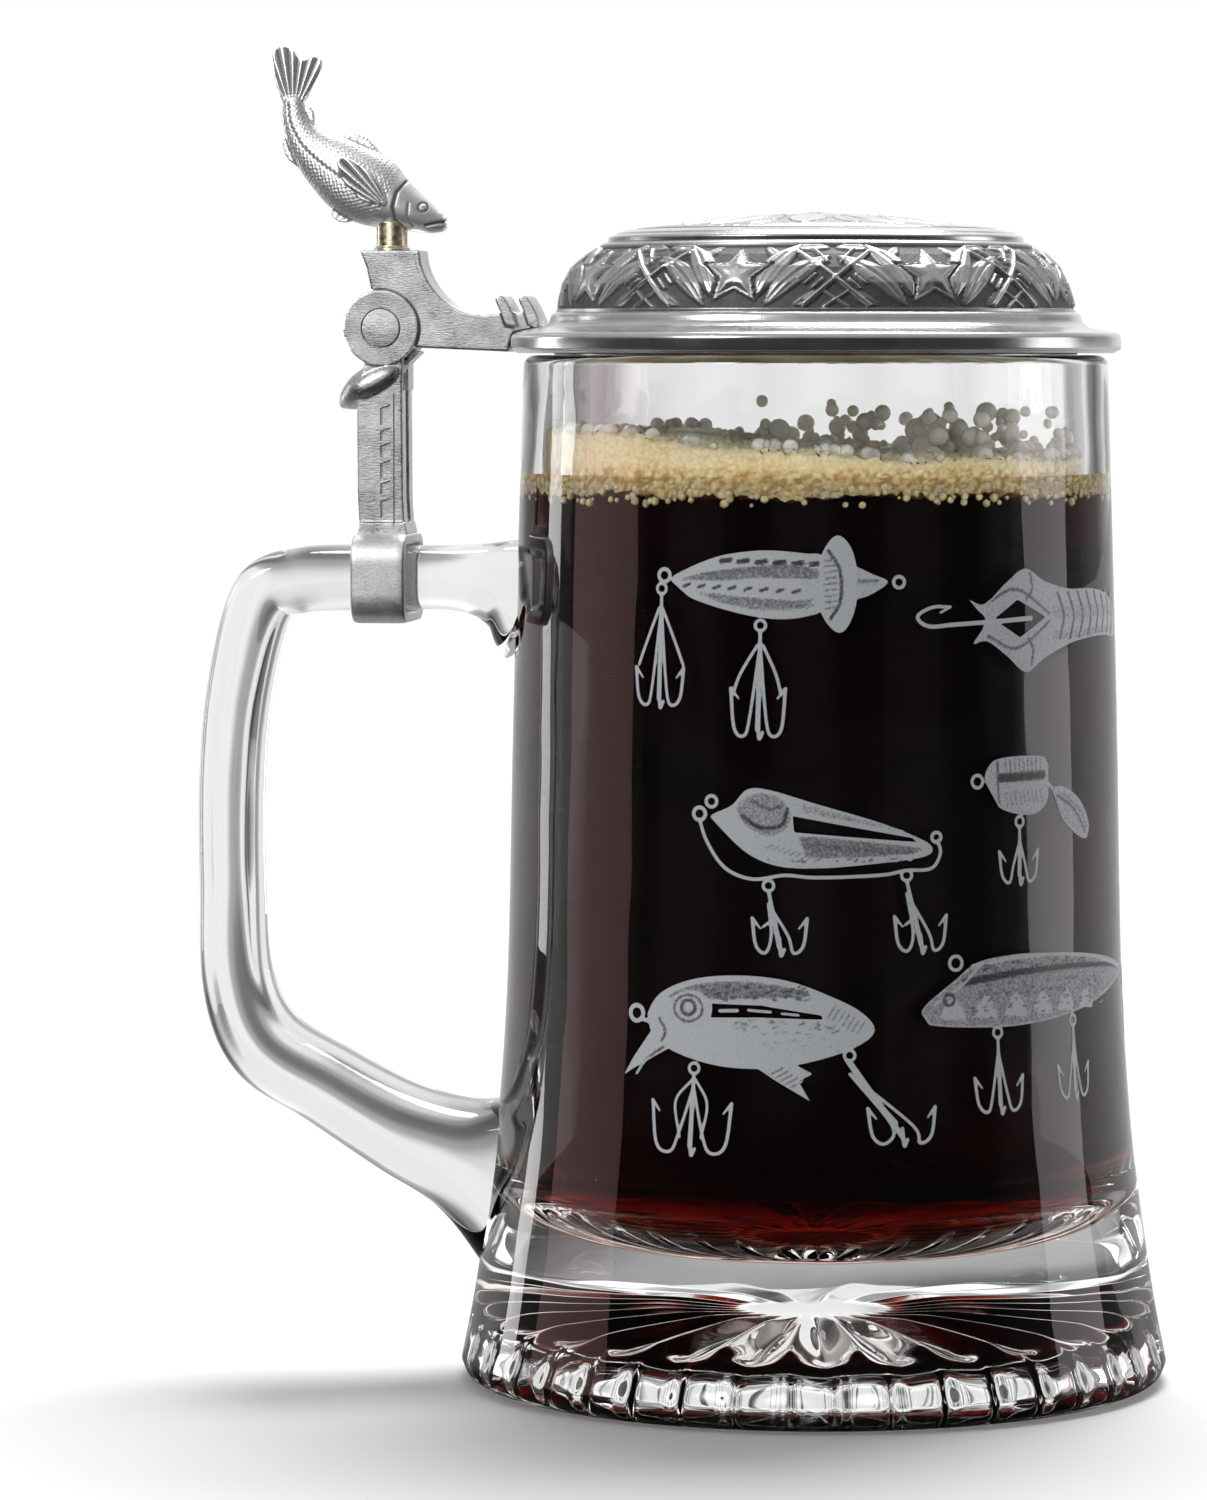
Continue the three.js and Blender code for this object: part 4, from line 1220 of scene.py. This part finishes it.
def fish_relief(here):
    """How far each point of the fish moves out, for scales, fin rays, gill cover and mouth."""
    x, y, z = here.T
    fine = spline(FISH_STATIONS, 220)
    gap = (x[:, None] - fine[None, :, 0]) ** 2 + (z[:, None] - fine[None, :, 1]) ** 2
    nearest = gap.argmin(axis=1)
    step = np.gradient(fine[:, :2], axis=0)
    length = np.linalg.norm(step, axis=1)
    run = np.concatenate([[0], np.cumsum(length)])[:-1]
    along = run[nearest]
    across = (x - fine[nearest, 0]) * step[nearest, 1] - (z - fine[nearest, 1]) * step[nearest, 0]
    across = across / length[nearest]
    tall, wide = fine[nearest, 2] / 2, fine[nearest, 3] / 2
    beyond = np.hypot(across / tall, y / wide)
    on_body = 1 - smooth_step(beyond, 1.06, 1.16)
    around = np.arctan2(across / tall, np.abs(y) / wide) * tall
    pitch = 0.8
    row = np.floor(along / pitch * 2)
    scale_u = along / pitch * 2 - row
    scale_v = (around / pitch + 0.5 * (row % 2)) % 1 - 0.5
    dome = np.clip(1 - 3.2 * scale_v**2 - 0.55 * (1 - scale_u) ** 2, 0, 1)
    scaled = smooth_step(along, 9.2, 10.0) * (1 - smooth_step(along, 30.5, 31.5))
    lift = 0.1 * (dome - 0.6) * on_body * scaled
    tail_turn = np.arctan2(x - TAIL_ROOT[0], z - TAIL_ROOT[1])
    tail_out = np.hypot(x - TAIL_ROOT[0], z - TAIL_ROOT[1])
    tail = smooth_step(tail_out, 2.6, 3.6) * (z > TAIL_ROOT[1])
    lift += 0.12 * tail * np.cos(40 * tail_turn)
    fins = (1 - on_body) * (1 - tail) * (beyond > 1.1)
    lift += 0.03 * fins * np.cos(2 * np.pi * along / 0.62) * (np.abs(y) < 1.2)
    pectoral_turn = np.arctan2(z - PECTORAL_ROOT[1], -(x - PECTORAL_ROOT[0]))
    pectoral_out = np.hypot(z - PECTORAL_ROOT[1], x - PECTORAL_ROOT[0])
    pectoral = (np.abs(y) > 3.3) * smooth_step(pectoral_out, 1.8, 2.6) * (pectoral_out < 12)
    lift += 0.16 * pectoral * np.cos(44 * pectoral_turn)
    gill = [(-61.2, 170.6), (-62.4, 172.2), (-62.7, 174.0), (-62.1, 176.2), (-60.9, 177.8)]
    cheek = [(-59.9, 171.2), (-60.6, 172.6), (-60.4, 174.6)]
    mouth = [(-54.4, 171.9), (-56.2, 171.75), (-58.0, 171.3)]
    lift += carved(x, z, gill, 0.2, 0.26)
    lift += carved(x, z, cheek, 0.16, 0.1)
    lift += carved(x, z, mouth, 0.17, 0.45)
    ring = np.hypot(x - EYE[0], z - EYE[1])
    lift -= 0.14 * np.exp(-((ring - 0.68) / 0.14) ** 2) + 0.1 * np.exp(-(ring / 0.25) ** 2)
    lateral = np.exp(-((across + 0.6) / 0.22) ** 2) * on_body * scaled
    return lift - 0.1 * lateral


def add_fish():
    """The cast fish: solids fused into one skin, then scales, fins and lines raised on it."""
    mesh = fused(fish_shells(), 0.15, 3)
    lift = fish_relief(places(mesh))
    push(mesh, lift)
    here = places(mesh)
    here[:, 2] = np.minimum(here[:, 2], FISH_TOP)
    mesh.vertices.foreach_set("co", here.ravel())
    mark(mesh, "worn", np.clip(0.8 + lift * 6.5, 0, 1))
    look = pewter("fish_pewter", ((0.8, 0.8, 0.8), (0.94, 0.94, 0.93)), (0.4, 0.58), bump=0.008, worn="worn")
    add_piece("fish_thumblift", mesh, look, "lid", "fish_pewter", "thumblift_fish", crease=70)


def add_post():
    """The brass stud between the lid's arm and the fish."""
    brass = plain_metal("pale_brass", ((0.62, 0.55, 0.38), (0.78, 0.71, 0.52)), (0.22, 0.4), 1.2)
    profile = filleted([(0, TANG_TOP - 3.8), (1.3, TANG_TOP - 3.8), (1.3, TANG_TOP - 0.1),
                        (2.7, TANG_TOP - 0.1),
                        (2.7, TANG_TOP + 0.35), (2.3, TANG_TOP + 0.6), (2.3, 171.9), (1.3, 171.9),
                        (1.3, POST_TOP), (0, POST_TOP)], 0.2, closed=False)
    add_piece("brass_stud", upright_rod(profile, STUD_X), brass, "lid", "brass", "thumblift_post")


# ---------------------------------------------------------------- enamel prints
# A print is a list of marks in millimetres, u to the right round the glass and v upwards, laid down in
# order. Its outline is where any mark leaves enamel; tone is how white the enamel is there.

PRINT_STEP = 0.24
PRINT_LIFT = 0.05


def polygon_distance(u, v, points):
    """Signed distance to an outline, negative inside."""
    points = np.array(points, float)
    away = np.full(u.shape, 1e9)
    inside = np.zeros(u.shape, bool)
    for a, b in zip(points, np.roll(points, -1, axis=0)):
        away = np.minimum(away, to_segment(u, v, a, b)[1])
        rise = b[1] - a[1] or 1e-9
        inside ^= ((a[1] > v) != (b[1] > v)) & (u < (v - a[1]) / rise * (b[0] - a[0]) + a[0])
    return np.where(inside, -away, away)


def line_distance(u, v, points, width):
    """Signed distance to a line; width is one number or one for each end."""
    first, last = np.broadcast_to(np.array(width, float), 2) / 2
    best = np.full(u.shape, 1e9)
    for k, (a, b) in enumerate(zip(points[:-1], points[1:])):
        t, away = to_segment(u, v, a, b)
        best = np.minimum(best, away - (first + (last - first) * (k + t) / (len(points) - 1)))
    return best


def ring_points(centre, radius, squash=1.0, count=24):
    """Points of a circle, or of an ellipse where it is squashed."""
    turn = np.linspace(0, 2 * np.pi, count + 1)
    return [(centre[0] + radius * math.cos(t), centre[1] + radius * squash * math.sin(t)) for t in turn]


def curve(points, steps=5):
    """A smooth line through the points."""
    return spline(points, (len(points) - 1) * steps).tolist()


def blob(points, tone=1.0):
    """An area with a smooth outline."""
    return ("area", closed_spline(points, 5).tolist(), tone)


def stroke(points, width=0.6, tone=1.0):
    """A smooth line; its width is one number or one for each end."""
    return ("line", curve(points), width, tone)


def loop(centre, radius, width=0.6, squash=1.0, tone=1.0):
    """A ring drawn with a line."""
    return ("line", ring_points(centre, radius, squash), width, tone)


def hook(eye, foot, spread, height=5.2):
    """A hanging hook: a ring at the eye, a shank to the foot, and a barbed bend on each side."""
    ex, ez = eye
    fx, fz = foot
    marks = [loop((ex, ez), 0.75, 0.45), stroke([(ex, ez - 0.7), (fx, fz + 0.8)], (0.5, 0.75))]
    for side in (-1, 1):
        tip = (fx + side * spread, fz + height)
        bend = [(fx + side * spread * out, fz + up) for out, up in ((0.30, 2.4), (0.5, -0.1), (0.86, 0.9))]
        marks.append(stroke([(ex, ez - 2.6), *bend, tip], (0.42, 0.5)))
        marks.append(stroke([tip, (tip[0] - side * 1.2, tip[1] - 1.5)], (0.5, 0.25)))
    marks.append(stroke([(fx, fz + 2.0), (fx + 0.2, fz - 0.5), (fx + 0.7, fz + 0.4)], 0.5))
    return marks


def hatch(start, end, lean, count, tone=0.3, width=0.22):
    """Short parallel strokes between two lines' ends, as an engraver shades."""
    marks = []
    for k in range(count):
        t = (k + 0.5) / count
        x = start[0] + (end[0] - start[0]) * t
        y = start[1] + (end[1] - start[1]) * t
        marks.append(("line", [(x, y), (x + lean[0], y + lean[1])], width, tone))
    return marks


def flecks(low, high, count, seed, tone=0.35, size=0.5):
    """Short level strokes scattered over a rectangle."""
    draw = random.Random(seed)
    marks = []
    for _ in range(count):
        x, y = draw.uniform(low[0], high[0]), draw.uniform(low[1], high[1])
        end = (x + draw.uniform(0.2, size), y + draw.uniform(-0.1, 0.1))
        marks.append(("line", [(x, y), end], 0.26, tone))
    return marks


def spindle_lure():
    """A long tapered lure with a collar, a nose ring and two hooks."""
    body = [(-13.6, 0), (-11, 1.7), (-6.6, 3.4), (-3, 4.1), (1.1, 4.4), (6.1, 4), (9, 3.2), (9, -3.4),
            (6.4, -4.9), (2.4, -5.3), (-2.3, -4.7), (-7.8, -3.3), (-10.9, -2.1)]
    marks = [blob([(8, 2.2), (12, 2.6), (16, 1.0), (18, 0.1), (17.2, -0.9), (14, -2.4), (8, -3)], 0.9)]
    marks += [loop((19.7, -0.1), 0.8, 0.5), stroke([(10, 0), (16.5, 0.1)], 0.5, 0.4)]
    marks += [blob(body), blob([(-12, 0.1), (-6, 1.6), (2, 2.3), (8, 1.8), (8, 0.4), (0, 0.5), (-6, 0)], 0.5),
              blob([(-9.5, -1.6), (-3, -2.2), (5, -2.6), (7.5, -2.4), (5.5, -3.9), (-1, -3.9),
                    (-6.5, -2.9)], 0.55)]
    marks += [stroke([(-11 + 2.6 * k, 3.0 - 0.08 * k), (-9.7 + 2.6 * k, 3.2 - 0.08 * k)], 0.7, 0.05)
              for k in range(2, 8)]
    marks += [stroke([(-11.5 + 2.3 * k, -0.8 - 0.1 * k), (-10.6 + 2.3 * k, -0.5 - 0.1 * k)], 0.45, 0.1)
              for k in range(8)]
    marks += hatch((-10, 0.9), (7, 2.9), (0.9, -0.5), 22, 0.35)
    marks += hatch((-8, -2.2), (7, -3.8), (0.8, 0.5), 18, 0.4)
    collar = [(8.3, 2.6), (9.6, 5.6), (11.2, 6.5), (12.9, 4.6), (13.7, 1.0), (13.5, -3.2), (12.4, -6.2),
              (11, -7.2), (9.2, -5.6), (8.1, -2.6)]
    marks += [blob(collar), stroke([(9.6, 4.4), (11.2, 1.6), (11.3, -2.6), (9.9, -5.2)], 0.5, 0.2)]
    marks += hatch((9.0, 3.4), (9.2, -4.2), (1.6, 0.2), 9, 0.45, 0.3)
    marks += [loop((-14.6, 0.7), 0.9, 0.55)]
    marks += hook((-15.0, -1.2), (-15.2, -17.6), 3.9) + hook((0, -6.2), (-0.3, -21.7), 3.9, 6.6)
    wires = [[(-15.4, -4), (-17.6, -9.4), (-18.6, -12)], [(-14.8, -4), (-12.6, -9), (-11.4, -12)],
             [(-0.4, -9), (-2.8, -13), (-3.9, -16)], [(0.4, -9), (2.2, -13), (3.0, -16)]]
    return marks + [stroke(wire, 0.45) for wire in wires]


def wedge_lure():
    """A wedge-shaped lure with a lip along its belly and two hooks."""
    body = [(-15.4, 3), (-12.2, 4.7), (-9.9, 7), (-6.5, 6.9), (0, 5), (8.2, 2.6), (14.2, 0.3), (16.7, -1.2),
            (15.6, -2.6), (8.2, -3.5), (0, -4.1), (-5.5, -3.8), (-9.8, -2.1), (-13.6, 1.2)]
    marks = [stroke([(-17.0, 2.6), (-15.8, -0.6), (-13.1, -4.2), (-9.1, -5.7), (-4.5, -5.1), (0, -5.4),
                     (9.1, -5.1), (12.8, -4.5), (16.6, -4.3), (18, -2.2), (17.6, -0.4)], 0.5),
             loop((-17.0, 3.4), 0.9, 0.55), loop((-15.2, 5.2), 0.8, 0.5), loop((17.4, 0.1), 0.7, 0.5)]
    marks += [blob(body), ("area", [(-3.4, 3.3), (13.7, 0.1), (14.4, -0.5), (-3.2, 1.0)], 0.0),
              blob([(-11.6, 4.4), (-9, 6.4), (-6, 6.2), (-3.8, 4.2), (-4.2, 1.6), (-7, 0.4),
                    (-10.4, 2.1)], 0.62),
              stroke([(-10.6, 3.2), (-8, 1.6), (-5.0, 2.0), (-4.2, 4.2)], 0.5, 0.12),
              stroke([(-9.2, 5.4), (-6.9, 4.3), (-5.2, 4.6)], 0.4, 0.3)]
    marks += [blob([(-2.6, 0.4), (13.4, -1.1), (14.6, -1.9), (8, -2.5), (-1.5, -2.4)], 0.5),
              blob([(-1.8, 4.9), (7.6, 2.5), (12.4, 1.1), (-2.2, 3.9)], 0.7)]
    marks += hatch((-2.4, -0.5), (13.6, -1.7), (0.9, -0.6), 20, 0.32)
    marks += hatch((-7.6, -1.2), (0, -3.2), (1.0, 0.5), 9, 0.5)
    marks += flecks((-9, -3.2), (14, -2.8), 22, 3, 0.4)
    for eye, foot in (((-6.8, -6.6), (-5.2, -16.0)), ((12.9, -5.2), (15.0, -15.8))):
        marks += hook(eye, foot, 3.9, 4.8)
        marks += [stroke([(foot[0] - 0.4, foot[1] + 5), (foot[0] - 2.3, foot[1] + 3.6)], 0.4)]
    return marks


def crankbait():
    """A plump fish-shaped lure with an eye, a diving lip and two hooks."""
    body = [(-17.4, 0.3), (-15.2, 3.5), (-9.9, 5.7), (-2.8, 6.4), (4, 5.7), (10.1, 3.5), (14.3, 1.3),
            (16.2, -1.2), (14.1, -3.3), (9.1, -5.2), (2.4, -6.6), (-4.3, -6.7), (-9.6, -5.8),
            (-14.1, -4.2), (-16.9, -1.7)]
    marks = [loop((-19.2, 0.4), 1.1, 0.65), stroke([(-18.2, -0.4), (-16.6, -0.8)], 0.6),
             ("area", [(-16.4, -1.6), (-19.6, -6.0), (-21.1, -8.6), (-19.8, -7.7), (-13.8, -4.4)], 0.95),
             stroke([(-14.6, -4.2), (-17.4, -6.2), (-18.9, -8.2)], 0.4, 0.2)]
    marks += [blob(body),
              blob([(-14, 2.9), (-9.8, 4.9), (-3, 5.6), (3.8, 4.9), (7, 3.6), (0, 3.2), (-8, 2.9)], 0.5)]
    marks += flecks((-9, 2.9), (7, 5.0), 60, 4, 0.2, 0.6)
    marks += [("area", [(-7.6, 2.3), (0, 2.2), (8.6, 0.9), (8.8, 0.3), (0, 0.5), (-7.4, 0.3)], 0.0),
              stroke([(-6, 1.3), (-3.4, 1.4)], 0.5, 0.9), stroke([(-1.8, 1.5), (1.4, 1.3)], 0.4, 0.8),
              stroke([(3, 1.1), (5.4, 0.9)], 0.35, 0.8)]
    head = [(-14.2, 1.3), (-12.4, 3.6), (-9.3, 3.9), (-7.2, 2.2), (-7.9, -0.4), (-11, -1.5), (-13.6, -0.5)]
    marks += [blob(head, 0.95),
              loop((-10.8, 1.5), 2.2, 0.35, 0.85, 0.25), loop((-10.8, 1.6), 1.05, 0.5, 1.0, 0.15)]
    marks += [stroke([(-15.4, -0.2), (-14.4, -1.8), (-14.9, -3.4)], 0.45, 0.25)]
    marks += flecks((-4, -1.8), (11, 0.1), 46, 6, 0.5, 0.5) + flecks((0, -4.2), (11, -2.2), 24, 7, 0.68, 0.4)
    marks += hatch((10.2, 2.4), (15, -0.4), (-1.0, -1.6), 7, 0.45)
    marks += [("area", [(-0.6, -6.6), (2.2, -8.4), (7.0, -11.2), (5.4, -8.4), (7.4, -7.4), (4.8, -6.0)], 1.0)]
    marks += hatch((1.0, -7.4), (4.6, -9.6), (1.8, 1.0), 5, 0.3)
    marks += hook((-9.7, -7.0), (-10, -18.8), 6.0, 7.0) + hook((12.6, -4.8), (20.0, -17.2), 4.9, 4.9)
    marks += [stroke([(-9.9, -8.6), (-12.4, -11.8), (-11.6, -16.8)], 0.4),
              stroke([(-9.4, -8.6), (-7.6, -12), (-8.4, -16.8)], 0.4)]
    marks += [stroke([(12.2, -5.6), (15.0, -9.6), (19.2, -14.4)], 0.45)]
    return marks


def squid_lure():
    """A spoon-headed lure with a ringed body and one wire hook."""
    body = [(-10.8, 2.9), (-8.2, 2.2), (-4.2, 5.2), (-0.5, 7.1), (3.6, 5.2), (9.2, 4), (16.4, 3.8),
            (23.9, 2.6), (28, 0.2), (29, -3.4), (22, -3.2), (16.4, -3.2), (9.5, -3.9), (3.2, -5.8),
            (-0.7, -7.7), (-4.4, -5.2),
            (-7.8, -3.1), (-10.1, -3.4), (-8.6, -1.4), (-8.1, 0.2), (-9.4, 1.4)]
    marks = [blob(body, 0.88), ("area", [(-6.6, 0), (-2.2, 2.7), (3.6, 0.1), (-1.8, -2.7)], 0.0)]
    seams = [[(-7.6, 2.4 * up), (-2.4, 4.2 * up), (4.4, 0.6 * up)] for up in (1, -1)]
    seams += [[(0.4, 6.4), (0.8, 4.2), (-0.4, 2.8)], [(0.4, -6.6), (0.8, -4.4), (-0.2, -2.9)]]
    marks += [stroke(seam, 0.4, 0.3) for seam in seams]
    wire = [(0.5, 0), (-6, -0.3), (-13, -0.6), (-17.2, -0.8), (-18.9, 0.6), (-16.6, 1.9), (-13.8, 1.9)]
    marks += [stroke(wire, (0.7, 0.45)), stroke([(-13.8, 1.9), (-15.4, 1.1)], 0.35)]
    for k in range(8):
        x = 6.5 + 2.7 * k
        marks.append(stroke([(x, 3.4), (x + 1.5, 0.2), (x + 0.3, -3.0)], 0.5, 0.25))
    marks += hatch((5, 1.5), (27, 1.1), (0.5, -1.6), 34, 0.5)
    return marks + hatch((5, -3.2), (27, -2.6), (0.4, 0.9), 34, 0.5)


def popper_lure():
    """A short lure with a joint, a tail and one hook."""
    marks = [blob([(-5.8, 0.5), (-4.8, 3.1), (-2, 3.9), (3.6, 3.9), (6.1, 3.2), (6.4, 0.6), (6.0, -2.9),
                   (2.4, -4.5), (-3.4, -3.2)], 0.85),
             ("area", [(-3.6, 1.6), (5.8, 1.7), (5.6, 0.5), (-3.8, 0.3)], 0.12),
             loop((-7.1, 0.6), 0.9, 0.5), stroke([(-3.6, 3.2), (-3.4, -2.8)], 0.4, 0.35)]
    marks += hatch((-2.6, 3.5), (5, 3.5), (0.1, -1.6), 9, 0.4)
    marks += hatch((-2.6, -1.2), (5, -1.0), (0.4, -1.7), 9, 0.5)
    marks += [stroke([(6.2, 0), (7.6, -1.2)], 0.5),
              blob([(7.2, -1.1), (10.6, -1.0), (14.6, -3.2), (17, -6.4), (16.2, -8.6), (13, -7.8),
                    (9.4, -5.2)], 0.75),
              stroke([(8.4, -2.0), (12.6, -4.2), (15.8, -7.6)], 0.4, 0.3),
              stroke([(9.6, -1.8), (14.2, -4.4), (16.2, -7.0)], 0.3, 0.5)]
    return marks + hook((0.4, -5.4), (0.3, -13.9), 3.7, 4.4)


def minnow_lure():
    """A slim spotted fish with two hooks."""
    body = [(-15.5, -2.4), (-14.4, -0.8), (-10.5, 2), (-6.7, 4.5), (-1, 5.3), (4.7, 5.3), (16, 4.5), (26, 3),
            (32.6, 1.2), (30.8, -0.1), (20.6, -2.4), (12.4, -3.8), (1.2, -4.8), (-6.9, -4.7), (-14.4, -4.0)]
    marks = [loop((-10.1, 4.6), 1.0, 0.5), blob(body, 0.62)]
    marks += [stroke([(-8.6, 1.8), (0, 2.7), (12, 2.9), (24, 2.2), (30, 1.3)], (1.1, 0.4), 0.08),
              stroke([(-13.6, -1.2), (-9.4, 1.2), (-6.6, 3.6)], 0.4, 0.9),
              stroke([(-7.4, 4.1), (4, 5.0), (18, 4.0), (31, 1.3)], 0.5, 0.95)]
    patch = [(-12.6, -3.2), (-11.0, -0.4), (-9.8, -0.8), (-8.8, -3.6)]
    marks += [blob([(x + 5.4 * k, y) for x, y in patch], 0.95) for k in range(6)]
    marks += flecks((-8, -3.6), (22, 1.4), 120, 8, 0.35, 0.6) + flecks((-6, 3.2), (18, 4.4), 50, 9, 0.3, 0.6)
    marks += [loop((-11.2, -0.6), 0.8, 0.4, 1.0, 0.1)]
    return marks + hook((-3.3, -5.6), (-3.2, -16.7), 4.2, 4.8) + hook((12.4, -4.9), (12.2, -15.8), 3.9, 4.6)


def spoon_lure():
    """A plain spoon with a ring at each end and one hook."""
    marks = [blob([(-9.5, 0), (-6, 3.0), (0, 4.6), (7, 3.4), (11, 0.6), (9, -2.6), (2, -4.2),
                   (-5.5, -3.0)], 0.8),
             blob([(-6.5, 0), (-3, 1.6), (2, 2.4), (7, 1.6), (8.4, 0), (4, -1.8), (-3, -1.6)], 0.5),
             stroke([(-7.5, 1.0), (0, 3.2), (8.4, 1.6)], 0.35, 0.3),
             loop((-10.6, 0), 0.9, 0.5), loop((12.2, 0.2), 0.9, 0.5)]
    marks += hatch((-5, -1.0), (7, 0.4), (1.2, -1.0), 14, 0.35)
    return marks + hook((12.9, -0.9), (13.6, -11.8), 3.8, 4.6)


def print_sheet(marks):
    """Lays the marks on a fine grid: the signed distance to the inked part's edge and the tone at each point,
    from which cut_sheet keeps the inked part.
    """
    drawn = np.array([point for kind, points, *_ in marks for point in points])
    low, high = drawn.min(0) - 1.2, drawn.max(0) + 1.2
    us, vs = (np.arange(low[k], high[k], PRINT_STEP) for k in range(2))
    u, v = np.meshgrid(us, vs, indexing="ij")
    edge = np.full(u.shape, 1e3)
    tone = np.zeros(u.shape)
    for kind, points, *width, shade in marks:
        away = polygon_distance(u, v, points) if kind == "area" else line_distance(u, v, points, *width)
        cover = np.clip(0.5 - away / 0.22, 0, 1)
        if shade > 0:
            edge = np.minimum(edge, away)
            tone = tone * (1 - cover) + shade * cover
        else:
            edge = np.maximum(edge, -away)
    tone = np.where(edge > -0.3, np.maximum(tone, 0.8), tone)
    return us, vs, edge, tone


def cut_sheet(us, vs, edge, tone):
    """Points (u, v, tone) and faces of the part of the grid whose edge value is negative."""
    number = {}
    points = []
    faces = []

    def corner(i, j):
        key = (i, j)
        if key not in number:
            number[key] = len(points)
            points.append((us[i], vs[j], tone[i, j]))
        return number[key]

    def crossing(i, j, k, m):
        key = (i, j, k, m) if (i, j) < (k, m) else (k, m, i, j)
        if key not in number:
            share = edge[i, j] / (edge[i, j] - edge[k, m])
            number[key] = len(points)
            points.append((us[i] + share * (us[k] - us[i]), vs[j] + share * (vs[m] - vs[j]),
                           max(tone[i, j], tone[k, m])))
        return number[key]

    inked = edge < 0
    some = inked[:-1, :-1] | inked[1:, :-1] | inked[1:, 1:] | inked[:-1, 1:]
    for i, j in zip(*np.nonzero(some)):
        square = [(i, j), (i + 1, j), (i + 1, j + 1), (i, j + 1)]
        face = []
        for here, there in zip(square, square[1:] + square[:1]):
            if inked[here]:
                face.append(corner(*here))
            if inked[here] != inked[there]:
                face.append(crossing(*here, *there))
        if len(face) > 2:
            faces.append(face)
    return np.array(points), faces


def on_glass(sheet, height, bearing):
    """A flat print's points laid on the glass with their tone, as (x, y, z, tone)."""
    u, v, tone = sheet.T
    turn = math.radians(bearing) + u / np.interp(height, FLANK[:, 1], FLANK[:, 0])
    radius = np.interp(v + height, FLANK[:, 1], FLANK[:, 0]) + PRINT_LIFT
    return np.stack([radius * np.cos(turn), radius * np.sin(turn), v + height, tone], axis=1)


def add_prints(look):
    """Five columns of three prints round the glass, clear of the handle. In the front and right columns
    every lure has a height and a shift of its own; the others are centred on three even rows."""
    lures = {
        "spindle": (spindle_lure, 120.2, 0.0),
        "wedge": (wedge_lure, 83.8, 10.4),
        "crank": (crankbait, 58.0, 0.5),
        "squid": (squid_lure, 114.6, 3.6),
        "popper": (popper_lure, 91.0, 0.1),
        "minnow": (minnow_lure, 61.3, -1.0),
        "spoon": (spoon_lure, 98.0, 0.0)}
    columns = [
        ("front", -94.9, ("spindle", "wedge", "crank")),
        ("right", -44.9, ("squid", "popper", "minnow")),
        ("side", 28.0, ("spindle", "wedge", "crank")),
        ("far_right", 77.0, ("popper", "spoon", "popper")),
        ("far_left", 130.0, ("squid", "crank", "wedge"))]
    sheets = {name: cut_sheet(*print_sheet(make())) for name, (make, _, _) in lures.items()}
    for column, bearing, names in columns:
        points, faces = [], []
        for name, row_height in zip(names, (118.0, 88.0, 60.0)):
            _, height, shift = lures[name]
            sheet, shapes = sheets[name]
            if column not in ("front", "right"):
                height, shift = row_height, 0.0
                sheet = sheet - [(sheet[:, 0].min() + sheet[:, 0].max()) / 2, 0, 0]
            start = len(points)
            points.extend(on_glass(sheet, height, bearing + shift))
            faces += [[k + start for k in face] for face in shapes]
        points = np.array(points)
        mesh = bpy.data.meshes.new("print")
        mesh.from_pydata(points[:, :3].tolist(), [], faces)
        mark(mesh, "tone", points[:, 3])
        add_piece("print_" + column, mesh, look, "root", "enamel_print", crease=180)


# ---------------------------------------------------------------- the whole

add_camera()
add_world()
add_lights()
add_floor()
add_glass()
add_beer()
add_foam()
add_bubbles()
add_prints(enamel_material())
turned_look = turned_pewter()
cast_look = cast_pewter()
strap_look = strap_pewter()
add_lid_rim(turned_look)
add_relief_band()
add_top_ring(turned_look)
add_medallion()
add_tang(cast_look)
add_shank(cast_look)
add_hinge_fittings(cast_look)
add_strap(strap_look)
add_fish()
add_post()

bpy.context.scene.view_settings.view_transform = "Standard"
bpy.context.scene.cycles.use_denoising = True
